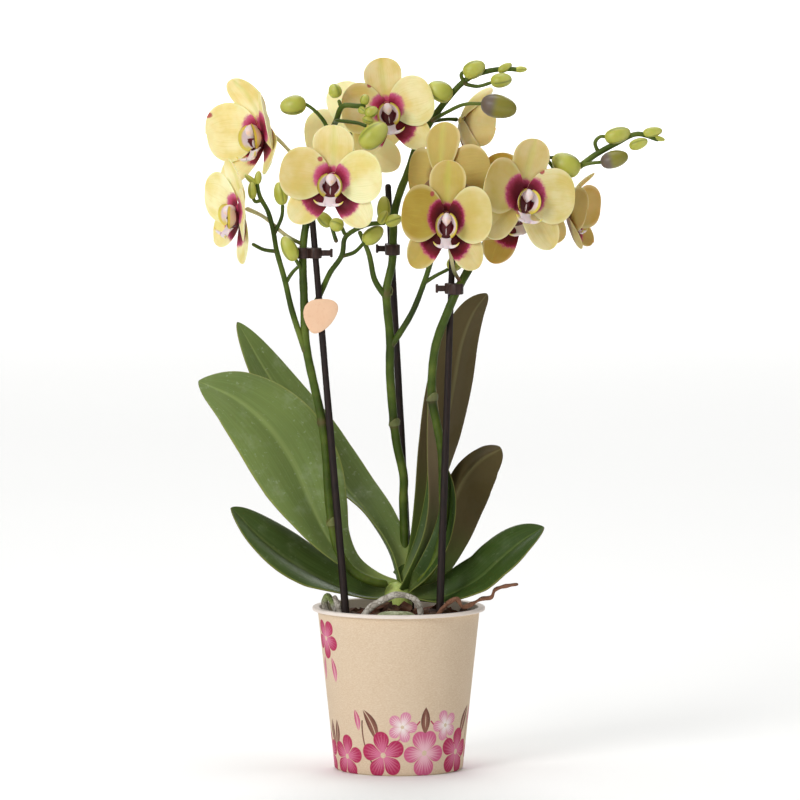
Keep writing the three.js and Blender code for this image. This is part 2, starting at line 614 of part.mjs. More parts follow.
function tepalsGeometry(bloom) {
  const hub = new THREE.SphereGeometry(HUB_RADIUS, 6, 3).rotateX(0.5 * Math.PI).scale(1.3, 1.3, 1);
  const tepals = TEPALS.map(([tepal, direction]) => tepalGeometry(tepal, direction, bloom.cup));
  return fromManifold(join([hub, ...tepals])).applyMatrix4(bloomMatrix(bloom));
}

// The lip in the bloom's frame: a rounded column above, a wine-red cavity between two
// upright side lobes that make a ring, and a short tongue that ends in two horns.
const LIP_LIFT = 1.7;            // raises the whole lip clear of the tepals
const COLUMN = { centre: [0, -0.2, 4.4], radii: [2.7, 2.9, 3.4] };
const CAVITY = { centre: [0, -4.2, 2.7], radii: [4.4, 5.2, 1.4] };
const LOBE = {
  centre: -3.6, radii: [6.4, 6.6], angles: [-62, 72], inner: 0.62, foot: 2.6, height: 5.4, thickness: 0.8,
};
const TONGUE = {
  root: [-7, 2.4], tip: [-14.3, 8.8], halfWidth: [3.2, 7], flare: 0.9, sag: 1.5, thickness: 1,
};

const ball = ({ centre, radii }) => new THREE.SphereGeometry(1, 6, 3)
  .rotateX(0.5 * Math.PI).scale(...radii).translate(...centre);

function lobeGeometry(side) {
  return blade((u, v) => {
    const angle = degrees(mix(...LOBE.angles, 0.5 * v + 0.5));
    const share = mix(LOBE.inner, 1, u ** 0.8);
    return new THREE.Vector3(
      side * LOBE.radii[0] * share * Math.cos(angle),
      LOBE.centre + LOBE.radii[1] * share * Math.sin(angle),
      LOBE.foot + LOBE.height * u * (1 - 0.45 * Math.abs(v) ** 2.5),
    );
  }, 2, 2, LOBE.thickness);
}

// The tongue widens to its two horns at u = flare and ends between them.
function tongueGeometry() {
  const { root, tip, halfWidth, flare, sag, thickness } = TONGUE;
  return blade((u, v) => new THREE.Vector3(
    u < flare ? v * mix(...halfWidth, u ** 4) : 0.2 * v * halfWidth[1],
    mix(root[0], tip[0], u) + (u < flare ? sag * v * v * u : 0),
    mix(root[1], tip[1], u),
  ), 3, 2, thickness);
}

function lipGeometry(bloom) {
  const parts = [ball(CAVITY), ball(COLUMN), lobeGeometry(1), lobeGeometry(-1), tongueGeometry()];
  return fromManifold(join(parts)).translate(0, 0, LIP_LIFT).applyMatrix4(bloomMatrix(bloom));
}

// The point behind a bloom where its stalk ends.
function bloomBack(bloom) {
  const reach = -(HUB_RADIUS + 0.6 + PEDICEL_RADIUS / 3);
  return new THREE.Vector3(0, 0, reach).applyMatrix4(bloomMatrix(bloom)).toArray();
}

// ---------------------------------------------------------------- aerial roots and bark

// Routes and thickness of the roots that show above the bark.
const ROOTS = {
  arch: {
    route: [[-21, -27, 78], [-15, -29, 87], [-9, -30, 91], [-1, -30, 94.3], [8, -30, 92], [11, -29, 87],
      [11, -27, 78]],
    radius: 2,
  },
  loop: {
    route: [[-36, -8, 78], [-38.5, -9, 88], [-37, -10, 91.5], [-34, -10, 87], [-32, -10, 78]],
    radius: 1.9,
  },
  stub: {
    route: [[-30, -19, 78], [-31, -20.5, 86], [-33.5, -21.5, 93]],
    radius: 1.9,
  },
  dry: {
    route: [[17, -26, 78], [24, -26, 88], [30, -25, 91.5], [33, -24, 87.4], [37, -21, 88], [43, -20, 91],
      [48, -21, 92], [50, -22, 96], [58, -23, 98.5], [62, -23, 99]],
    radius: 1.3,
  },
};

const rootGeometry = (root, grow = 0) => stem(
  root.route,
  taper(root.radius + grow, root.radius * 0.7 + grow),
  4,
  2 * root.route.length,
);

// The potting bark: one plug that fills the pot, with coarse chips sunk into its top.
function barkGeometry() {
  const top = BARK_LEVEL;
  const bevel = 2;
  const plug = lathe([
    [0, POT_FLOOR + GAP],
    [potInnerRadius(POT_FLOOR) - GAP, POT_FLOOR + GAP],
    [potInnerRadius(top - bevel) - GAP, top - bevel],
    [potInnerRadius(top) - 3 * bevel, top],
    [0, top + bevel],
  ], 14);
  const random = seeded(7);
  const chips = [];
  const chipCount = 19;
  const goldenAngle = degrees(137.508);
  const reach = potInnerRadius(top) - 10;
  for (let i = 0; i < chipCount; i += 1) {
    const radius = reach * Math.sqrt((i + 0.5) / chipCount);
    const angle = goldenAngle * i;
    const size = [7 + 6 * random(), 5 + 4 * random(), 4 + 3 * random()];
    const chip = new THREE.BoxGeometry(...size)
      .rotateX(0.5 * (random() - 0.5))
      .rotateY(0.7 * (random() - 0.5))
      .rotateZ(Math.PI * random())
      .translate(radius * Math.cos(angle), radius * Math.sin(angle), top + 1.2 * random());
    chips.push(chip);
  }
  return join([plug, ...chips]);
}

// ---------------------------------------------------------------- assembly of named nodes

const MATERIALS = {
  pot: [0xc7a884, 0.75],
  bark: [0x4a3326, 0.95],
  root: [0x9a968a, 0.85],
  cane: [0x241a17, 0.5],
  leaf: [0x3f6b2a, 0.42],
  stem: [0x4f7d2e, 0.5],
  tepal: [0xf1e59a, 0.55],
  lip: [0xe9d9dc, 0.5],
  tag: [0xf0bf9a, 0.6],
};

const orchid = new THREE.Group();

function place(name, geometry, finish) {
  const [color, roughness] = MATERIALS[finish];
  const material = new THREE.MeshStandardMaterial({ color, roughness, metalness: 0 });
  const mesh = new THREE.Mesh(geometry, material);
  mesh.name = name;
  orchid.add(mesh);
}

place('pot', potGeometry(), 'pot');
place('crown', crownGeometry(), 'leaf');

const inner = [crownGeometry(GAP), ...Object.values(SPIKES).map((spike) => mainStem(spike, GAP))];
for (const name of SHEATHING) {
  const leaf = LEAVES[name];
  place(`leaf_${name}`, fromManifold(cut(toManifold(leafGeometry(leaf)), inner)), 'leaf');
  inner.push(leafGeometry(leaf, GAP));
}

for (const [side, cane] of Object.entries(CANES)) {
  place(`cane_${side}`, caneGeometry(cane), 'cane');
  place(`clip_${side}`, clipGeometry(CLIPS[side], cane, SPIKES[side]), 'cane');
}
place('tag', tagGeometry(), 'tag');

for (const [side, spike] of Object.entries(SPIKES)) place(`spike_${side}`, spikeGeometry(spike), 'stem');
for (const [letter, bloom] of Object.entries(BLOOMS)) {
  place(`bloom_${letter}_tepals`, tepalsGeometry(bloom), 'tepal');
  place(`bloom_${letter}_lip`, lipGeometry(bloom), 'lip');
}

for (const [name, root] of Object.entries(ROOTS)) place(`root_${name}`, rootGeometry(root), 'root');
const sockets = [
  crownGeometry(GAP),
  ...Object.values(CANES).map((cane) => caneGeometry(cane, GAP)),
  ...Object.values(ROOTS).map((root) => rootGeometry(root, GAP)),
];
place('bark', fromManifold(cut(barkGeometry(), sockets)), 'bark');

export default orchid;
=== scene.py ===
"""A potted moth orchid: three flower spikes on canes, in a tapered 9 cm pot.

Places and sizes are in millimetres and MM turns them into metres. The plant's show side
faces -Y, so +X is to the viewer's right.
"""

import json
import math

import bmesh
import bpy
import numpy as np
from mathutils import Matrix, Vector
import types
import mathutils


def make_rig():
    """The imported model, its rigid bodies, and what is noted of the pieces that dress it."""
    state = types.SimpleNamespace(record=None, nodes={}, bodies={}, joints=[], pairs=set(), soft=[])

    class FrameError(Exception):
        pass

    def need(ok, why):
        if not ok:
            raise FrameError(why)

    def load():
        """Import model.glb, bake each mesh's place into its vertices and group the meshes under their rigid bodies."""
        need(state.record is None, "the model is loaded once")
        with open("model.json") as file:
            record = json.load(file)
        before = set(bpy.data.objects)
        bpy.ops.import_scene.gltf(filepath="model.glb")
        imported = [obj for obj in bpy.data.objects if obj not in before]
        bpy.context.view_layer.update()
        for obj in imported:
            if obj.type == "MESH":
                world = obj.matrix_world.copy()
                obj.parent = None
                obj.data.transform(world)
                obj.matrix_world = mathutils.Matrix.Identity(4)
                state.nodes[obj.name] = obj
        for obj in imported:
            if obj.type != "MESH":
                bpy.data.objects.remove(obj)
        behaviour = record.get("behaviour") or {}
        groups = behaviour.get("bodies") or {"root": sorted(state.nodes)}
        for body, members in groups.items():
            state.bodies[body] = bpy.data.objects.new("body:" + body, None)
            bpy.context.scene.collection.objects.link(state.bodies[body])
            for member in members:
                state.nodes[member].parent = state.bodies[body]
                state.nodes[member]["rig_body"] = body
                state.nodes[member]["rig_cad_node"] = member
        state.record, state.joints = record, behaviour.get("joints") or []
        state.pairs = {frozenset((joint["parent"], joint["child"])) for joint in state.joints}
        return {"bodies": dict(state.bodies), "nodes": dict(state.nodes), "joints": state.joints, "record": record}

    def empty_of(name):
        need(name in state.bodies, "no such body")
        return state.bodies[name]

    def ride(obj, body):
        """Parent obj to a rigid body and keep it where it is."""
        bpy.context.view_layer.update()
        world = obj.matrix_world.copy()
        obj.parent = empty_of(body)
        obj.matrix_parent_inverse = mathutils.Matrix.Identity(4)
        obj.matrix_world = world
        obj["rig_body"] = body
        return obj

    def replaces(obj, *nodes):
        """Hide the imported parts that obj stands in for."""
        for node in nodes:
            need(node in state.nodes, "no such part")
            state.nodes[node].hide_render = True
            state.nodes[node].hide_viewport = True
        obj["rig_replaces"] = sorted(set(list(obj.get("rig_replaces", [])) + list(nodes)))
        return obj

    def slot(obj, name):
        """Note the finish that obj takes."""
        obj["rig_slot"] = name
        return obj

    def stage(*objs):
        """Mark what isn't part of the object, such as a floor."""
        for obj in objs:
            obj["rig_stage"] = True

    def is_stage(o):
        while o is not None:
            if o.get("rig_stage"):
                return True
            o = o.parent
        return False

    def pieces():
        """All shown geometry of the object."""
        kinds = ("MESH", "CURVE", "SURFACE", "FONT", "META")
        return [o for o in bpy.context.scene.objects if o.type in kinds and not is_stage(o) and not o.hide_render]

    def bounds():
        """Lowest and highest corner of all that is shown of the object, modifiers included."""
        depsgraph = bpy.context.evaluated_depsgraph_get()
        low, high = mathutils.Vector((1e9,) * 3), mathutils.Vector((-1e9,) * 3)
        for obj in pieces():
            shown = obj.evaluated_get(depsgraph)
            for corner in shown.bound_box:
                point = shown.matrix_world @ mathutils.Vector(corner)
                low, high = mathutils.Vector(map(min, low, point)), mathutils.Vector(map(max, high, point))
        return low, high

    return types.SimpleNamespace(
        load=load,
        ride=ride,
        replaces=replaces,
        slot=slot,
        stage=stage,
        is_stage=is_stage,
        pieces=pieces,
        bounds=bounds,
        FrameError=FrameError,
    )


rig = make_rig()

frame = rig.load()
cad_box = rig.bounds()

MM = 0.001
GAP = 0.3                        # air between neighbouring pieces

POT_HEIGHT = 85
POT_BASE_RADIUS = 33.4
POT_TOP_RADIUS = 42.4
POT_WALL = 1.1
POT_FLOOR = 1.6
RIM_RADIUS = 45
RIM_HEIGHT = 1.8
BARK_LEVEL = 79
CANE_RADIUS = (2.1, 1.6)         # at the bark, at the top
CANE_FOOT = 44
STEM_RADIUS = 2.1
TWIG_RADIUS = 1.4
PEDICEL_RADIUS = 1
LEAF_THICKNESS = 1.5
TEPAL_THICKNESS = 0.7
BLOOM_RADIUS = 27
HUB_RADIUS = 2.4
ROOT_CUP = 8                     # degrees by which every tepal rises at its root
LIP_LIFT = 1.7                   # raises the whole lip clear of the tepals


# ---- helpers for shapes

def unit(vectors):
    """Vectors of length 1 along the last axis."""
    return vectors / np.maximum(np.linalg.norm(vectors, axis=-1, keepdims=True), 1e-9)


def mix(a, b, t):
    return a + (b - a) * t


def smooth_step(low, high, value):
    """0 below low, 1 above high, and a smooth rise between them."""
    t = np.clip((value - low) / (high - low), 0, 1)
    return t * t * (3 - 2 * t)


def full_turn(sides):
    return np.linspace(0, 2 * np.pi, sides, endpoint=False)


def pot_radius(z):
    """The radius of the pot's outside at a height."""
    return mix(POT_BASE_RADIUS, POT_TOP_RADIUS, z / POT_HEIGHT)


def smooth_route(points):
    """Close points on the centripetal curve through a few chosen ones, with their distances."""
    given = np.array(points, float)
    knots = np.vstack([2 * given[0] - given[1], given, 2 * given[-1] - given[-2]])
    parts = []
    w = np.linspace(0, 1, 40, endpoint=False)[:, None]
    for a, b, c, d in zip(knots, knots[1:], knots[2:], knots[3:]):
        before, here, after = (np.linalg.norm(q - p) ** 0.5 for p, q in ((a, b), (b, c), (c, d)))
        leave = ((b - a) / before - (c - a) / (before + here) + (c - b) / here) * here
        arrive = ((c - b) / here - (d - b) / (here + after) + (d - c) / after) * here
        parts.append(b + leave * w + (3 * (c - b) - 2 * leave - arrive) * w ** 2
                     + (2 * (b - c) + leave + arrive) * w ** 3)
    line = np.vstack(parts + [given[-1:]])
    steps = np.linalg.norm(np.diff(line, axis=0), axis=1)
    return line, np.concatenate([[0], np.cumsum(steps)])


def along_route(route, share):
    """Points at the given shares of the route's length."""
    line, run = route
    return np.stack([np.interp(share * run[-1], run, line[:, k]) for k in range(3)], axis=-1)


def grid_faces(rows, columns, wrap=False):
    """Quads over rows + 1 by columns + 1 points, or round a closed ring of columns points."""
    across = columns if wrap else columns + 1
    return [[i * across + j, i * across + (j + 1) % across, (i + 1) * across + (j + 1) % across,
             (i + 1) * across + j] for i in range(rows) for j in range(columns)]


def lathe(profile, sides):
    """A solid of revolution about Z from (radius, height) pairs."""
    turn = full_turn(sides)
    radius, height = np.array(profile, float).T[..., None]
    points = np.stack(np.broadcast_arrays(radius * np.cos(turn), radius * np.sin(turn), height), axis=-1)
    return points, grid_faces(len(profile) - 1, sides, wrap=True)


def rounded(profile, radius, steps=5):
    """A profile whose inner corners are eased by arcs that begin radius away from them."""
    given = [np.array(p, float) for p in profile]
    eased = [given[0]]
    for before, corner, after in zip(given, given[1:], given[2:]):
        back, ahead = (np.linalg.norm(side - corner) for side in (before, after))
        reach = min(radius, 0.45 * back, 0.45 * ahead)
        a = corner + reach * (before - corner) / back
        c = corner + reach * (after - corner) / ahead
        eased += [(1 - t) ** 2 * a + 2 * t * (1 - t) * corner + t ** 2 * c for t in np.linspace(0, 1, steps)]
    return eased + [given[-1]]


def blade(surface, rows, columns, thickness, rim):
    """A thin closed blade. surface(u, v) gives its middle for u from root to tip and v from
    -1 to 1 across, and rim is the margin's share of the thickness. Gives points, faces and
    the marks along, across and under."""
    u, v = np.meshgrid(1 - (1 - np.linspace(0, 1, rows + 1)) ** 1.5,
                       np.sin(0.5 * np.pi * np.linspace(-1, 1, columns + 1)), indexing="ij")
    step, inner = 1e-3, np.clip(u, 0.03, 0.97)
    side = np.clip(v, -1 + step, 1 - step)
    normal = unit(np.cross(surface(inner + step, side) - surface(inner - step, side),
                           surface(inner, side + step) - surface(inner, side - step)))
    thin = mix(rim, 1, np.sqrt(np.clip(1 - v ** 4, 0, 1)) * np.sqrt(1 - u ** 12))[..., None]
    middle, offset = surface(u, v), 0.5 * thickness * thin * normal
    at = np.arange(u.size).reshape(u.shape)
    quads = grid_faces(rows, columns)
    border = [*zip(at[0, :0:-1], at[0, -2::-1]), *zip(at[:-1, 0], at[1:, 0]), *zip(at[1:, -1], at[:-1, -1])]
    faces = [[a, d, c, b] for a, b, c, d in quads] + [[i + u.size for i in quad] for quad in quads]
    faces += [[a, a + u.size, b + u.size, b] for a, b in border]
    marks = {"along": np.tile(u.ravel(), 2), "across": np.tile(v.ravel(), 2),
             "under": np.repeat([0.0, 1.0], u.size)}
    return np.stack([middle + offset, middle - offset]).reshape(-1, 3), faces, marks


def outline(u, widest, root, rise, tip):
    """Share of the full half width: from the root's share by a power of a sine to the widest
    place, then down to nothing by the power tip."""
    climb = np.sin(0.5 * np.pi * np.clip(u / widest, 0, 1)) ** rise
    fall = np.clip(1 - np.clip((u - widest) / (1 - widest), 0, 1) ** 2, 0, 1) ** tip
    return np.where(u < widest, mix(root, 1, climb), fall)


# ---- pieces

def put_in_scene(name, data):
    thing = bpy.data.objects.new(name, data)
    bpy.context.scene.collection.objects.link(thing)
    return thing


def settle(thing, node, slot):
    """Puts a finished piece in the place of its CAD node."""
    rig.ride(thing, "root")
    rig.replaces(thing, node)
    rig.slot(thing, slot)


def write_marks(mesh, parts):
    """Stores numbers at a mesh's points. Each part: its number of points and their marks."""
    for title in sorted({title for _, marks in parts for title in marks}):
        values = [np.broadcast_to(np.ravel(marks.get(title, 0.0)), count) for count, marks in parts]
        attribute = mesh.attributes.new(title, "FLOAT", "POINT")
        attribute.data.foreach_set("value", np.concatenate(values).astype(np.float32))


class Shape:
    """The points and faces of one piece, gathered part by part, with marks at each point."""

    def __init__(self):
        self.points, self.faces, self.parts, self.count = [], [], [], 0

    def add(self, points, faces, **marks):
        flat = np.asarray(points, float).reshape(-1, 3)
        self.points.append(flat)
        self.faces += [[int(i) + self.count for i in face] for face in faces]
        self.parts.append((len(flat), marks))
        self.count += len(flat)
        return self

    def finished(self, name, finish, sharp=None):
        """The piece as an object in metres: merged where points meet, smooth, with its finish."""
        mesh = bpy.data.meshes.new(name)
        mesh.from_pydata(np.vstack(self.points) * MM, [], self.faces)
        write_marks(mesh, self.parts)
        work = bmesh.new()
        work.from_mesh(mesh)
        bmesh.ops.remove_doubles(work, verts=work.verts, dist=1e-3 * MM)
        bmesh.ops.dissolve_degenerate(work, edges=work.edges, dist=1e-4 * MM)
        work.to_mesh(mesh)
        work.free()
        mesh.polygons.foreach_set("use_smooth", [True] * len(mesh.polygons))
        if sharp:
            mesh.set_sharp_from_angle(angle=math.radians(sharp))
        mesh.materials.append(finish)
        return put_in_scene(name, mesh)

    def replace(self, node, tail, slot, finish, sharp=None):
        """Finishes the piece, named after its CAD node, and puts it in that node's place."""
        settle(self.finished(node + tail, finish, sharp), node, slot)


# ---- helpers for node trees

def colour(code):
    """A linear colour from a screen colour such as "e8d9a0"."""
    parts = [int(code[i:i + 2], 16) / 255 for i in (0, 2, 4)]
    return tuple(c / 12.92 if c <= 0.04045 else ((c + 0.055) / 1.055) ** 2.4 for c in parts) + (1,)


def math_node(operation):
    """A method of Output that adds a Math node."""
    return lambda output, other: output.math(operation, other)


class Output:
    """An output of a node. Arithmetic on it adds Math nodes."""

    __add__, __sub__ = math_node("ADD"), math_node("SUBTRACT")
    __mul__, __truediv__ = math_node("MULTIPLY"), math_node("DIVIDE")

    def __init__(self, tree, socket):
        self.tree, self.socket = tree, socket

    def math(self, operation, other=0.0):
        return self.tree.node("ShaderNodeMath", {0: self, 1: other}, operation=operation)

    def __rsub__(self, number):
        return self.tree.node("ShaderNodeMath", {0: number, 1: self}, operation="SUBTRACT")

    def __abs__(self):
        return self.math("ABSOLUTE")

    def step(self, low, high, start=0.0, end=1.0):
        """start below low, end above high, and a smooth change between them."""
        inputs = {0: self, 1: low, 2: high, 3: start, 4: end}
        return self.tree.node("ShaderNodeMapRange", inputs, interpolation_type="SMOOTHSTEP")


class Tree:
    """Adds nodes to a node tree."""

    def __init__(self, tree):
        self.tree = tree

    def node(self, kind, inputs=(), output=0, **settings):
        """A new node. inputs are numbers, colour codes or outputs of other nodes. Gives one
        output, or all of them where output is None."""
        made = self.tree.nodes.new(kind)
        for key, value in settings.items():
            setattr(made, key, value)
        for key, value in dict(inputs).items():
            socket = made.inputs[key]
            if isinstance(value, Output):
                self.tree.links.new(value.socket, socket)
            else:
                socket.default_value = colour(value) if socket.type == "RGBA" else value
        if output is None:
            return [Output(self, socket) for socket in made.outputs]
        return Output(self, made.outputs[output]) if made.outputs else None

    def given(self, title):
        """One of the group's own inputs."""
        return self.node("NodeGroupInput", output=title)

    def vector(self, operation, a, b=(0, 0, 0), output=0):
        return self.node("ShaderNodeVectorMath", {0: a, 1: b}, output, operation=operation)

    def scaled(self, vector, size):
        return self.node("ShaderNodeVectorMath", {0: vector, "Scale": size}, operation="SCALE")

    def split(self, vector):
        return self.node("ShaderNodeSeparateXYZ", {0: vector}, None)

    def join(self, *parts):
        return self.node("ShaderNodeCombineXYZ", enumerate(parts))


class Finish(Tree):
    """A material in the making, whose tint is laid on coat by coat."""

    def __init__(self, name):
        self.material = bpy.data.materials.new(name)
        self.material.use_nodes = True
        super().__init__(self.material.node_tree)
        self.tree.nodes.clear()
        self.place = self.node("ShaderNodeTexCoord", output="Object")

    def mark(self, title):
        return self.node("ShaderNodeAttribute", output="Fac", attribute_name=title)

    def marks(self, titles):
        return [self.mark(title) for title in titles.split()]

    def stretched(self, *scale):
        return self.node("ShaderNodeMapping", {"Vector": self.place, "Scale": scale})

    def noise(self, scale, detail, roughness=0.5, where=None):
        inputs = {"Vector": where or self.place, "Scale": scale, "Detail": detail, "Roughness": roughness}
        return self.node("ShaderNodeTexNoise", inputs)

    def cells(self, scale, feature="F1"):
        inputs = {"Vector": self.place, "Scale": scale}
        return self.node("ShaderNodeTexVoronoi", inputs, feature=feature)

    def blend(self, share, under, over):
        return self.node("ShaderNodeMix", {0: share, 6: under, 7: over}, 2, data_type="RGBA")

    def ramp(self, value, *stops):
        made = self.node("ShaderNodeValToRGB", {0: value})
        band = made.socket.node.color_ramp
        while len(band.elements) < len(stops):
            band.elements.new(0.5)
        for element, (place, code) in zip(band.elements, stops):
            element.position, element.color = place, colour(code)
        return made

    def lay(self, share, *coat):
        """Lays a coat over the tint: one tint, or a mixture of two by the cloud."""
        over = self.blend(self.cloud, *coat) if len(coat) > 1 else coat[0]
        self.tint = self.blend(share, self.tint, over)

    def done(self, roughness, height=None, bump=(0, 0), shine=0.5, glow=0, depth=2, sheen=0):
        """Closes the material. bump is the strength and the millimetres of the height's relief,
        glow the share of light that passes under the skin and depth how many mm it goes."""
        inputs = {"Base Color": self.tint, "Roughness": roughness, "Specular IOR Level": shine,
                  "Subsurface Weight": glow, "Subsurface Scale": depth * MM,
                  "Sheen Weight": sheen, "Sheen Roughness": 0.4}
        if height:
            relief = {"Height": height, "Strength": bump[0], "Distance": bump[1] * MM}
            inputs["Normal"] = self.node("ShaderNodeBump", relief)
        self.node("ShaderNodeOutputMaterial", {0: self.node("ShaderNodeBsdfPrincipled", inputs)})
        return self.material


def node_group(name, kind, inputs, outputs):
    """An empty node group. inputs and outputs give each socket's title and kind."""
    tree = bpy.data.node_groups.new(name, kind)
    for in_out, sockets in (("INPUT", inputs), ("OUTPUT", outputs)):
        for title, socket in sockets.items():
            tree.interface.new_socket(title, in_out=in_out, socket_type="NodeSocket" + socket)
    return Tree(tree)


def run_tree(thing, tree, **values):
    """Runs a Geometry Nodes tree on an object and leaves it with the result as a plain mesh."""
    modifier = thing.modifiers.new(tree.name, "NODES")
    modifier.node_group = tree
    for item in tree.interface.items_tree:
        if item.in_out == "INPUT" and item.name in values:
            modifier[item.identifier] = values[item.name]
    bpy.context.view_layer.update()
    seen = thing.evaluated_get(bpy.context.evaluated_depsgraph_get())
    mesh = bpy.data.meshes.new_from_object(seen)
    thing.modifiers.remove(modifier)
    old = thing.data
    thing.data = mesh
    bpy.data.meshes.remove(old)
    return thing


# ---- the plant in numbers

# Each leaf: its midrib, which way it faces at its root and at its tip, its half width and the form
# of its outline, how far its halves fold up (degrees at the root and the tip), and how much painted
# shade darkens it above and behind.
LEAVES = {
    "lower_left": {
        "midrib": [[0, -1, 91.5], [-14, -3, 90], [-31, -5, 95], [-56.5, -10, 109], [-73, -13, 122.5],
            [-87, -15, 138]],
        "face": [[0.2, -0.5, 1], [0.35, -0.55, 0.8]], "half": 19,
        "form": (0.6, 0.3, 1.4, 0.7), "fold": (42, 14), "dark": (0.8, 0.8)},
    "lower_right": {
        "midrib": [[6.5, -2, 89], [22.5, -4.5, 89.5], [41, -8, 99], [52.5, -10, 109.5], [64, -11, 119.5],
            [75.5, -12, 127.5]],
        "face": [[-0.2, -0.5, 1], [-0.3, -0.55, 0.8]], "half": 17.5,
        "form": (0.55, 0.4, 1.1, 0.7), "fold": (42, 12), "dark": (0.95, 0.95)},
    "broad_left": {
        "midrib": [[-0.5, 3, 95.5], [-13, 0, 100], [-25.5, -1, 107], [-36.5, 0, 119.5], [-45, 2, 136.5],
            [-54.5, 5, 158], [-67, 8, 176.5], [-84, 11, 191.5], [-104.5, 13, 201.5]],
        "face": [[0.2, -0.8, 0.7], [0.35, -0.9, 0.4]], "half": 25.5,
        "form": (0.62, 0.12, 2, 0.75), "fold": (50, 8), "dark": (0, 0)},
    "short_right": {
        "midrib": [[6.5, 1, 95], [14, 3, 103.5], [22, 5, 121], [29, 6, 140], [35, 6, 152.5], [43, 5, 161],
            [53.5, 3, 167]],
        "face": [[0.1, 0.9, 0.4], [0.6, 0.8, -0.2]], "half": 18.5,
        "form": (0.6, 0.75, 1, 0.55), "fold": (45, 46), "dark": (0.9, 0.95)},
    "back_left": {
        "midrib": [[1, 4, 94], [-3.8, 10.4, 111.5], [-13.8, 18, 128], [-28.5, 28.5, 144.5],
            [-45.5, 38, 168], [-59.5, 44, 187], [-72, 49, 206.5], [-85, 52, 229.5]],
        "face": [[0.7, -0.5, 0.5], [0.5, -0.8, 0.3]], "half": 18,
        "form": (0.5, 0.45, 1.2, 0.7), "fold": (54, 14), "dark": (0.1, 0.1)},
    "tall_right": {
        "midrib": [[4, 3, 94], [11, 11, 111.5], [18.5, 17, 142], [24, 19, 173], [28.5, 18, 199],
            [33, 16, 222.5], [39, 13, 238], [46, 11, 247.5]],
        "face": [[-0.7, 0.4, 0.4], [-0.5, 0.9, 0.1]], "half": 15.5,
        "form": (0.64, 0.35, 1.1, 0.62), "fold": (45, 14), "dark": (0.55, 0.8)},
    "folded_centre": {
        "midrib": [[3.5, -1, 93], [10, -1, 105], [18, 0, 122], [22.5, 1, 141], [22.5, 2, 162], [20, 2, 188],
            [17, 2, 217]],
        "face": [[-0.8, -0.3, 0.6], [-0.95, 0.2, 0.1]], "half": 11,
        "form": (0.4, 0.7, 1.1, 0.8), "fold": (50, 56), "dark": (0.9, 0)},
    "inner_right": {
        "midrib": [[6, -2, 94], [13, -6, 102], [21.5, -8, 116], [26, -9, 132.5], [26.5, -9, 147],
            [25, -9, 158]],
        "face": [[-0.3, -0.8, 0.5], [-0.5, -0.8, 0.2]], "half": 7,
        "form": (0.4, 0.8, 1.1, 0.7), "fold": (50, 30), "dark": (1, 1)},
}

CANES = {
    "left": {"foot": [-27.8, -21.5, 88], "top": [-44.9, -8, 289.6]},
    "middle": {"foot": [5.9, 25, 86], "top": [-5.6, 8, 304.9]},
    "right": {"foot": [21.4, -22, 88], "top": [27.8, -14, 270.8]},
}

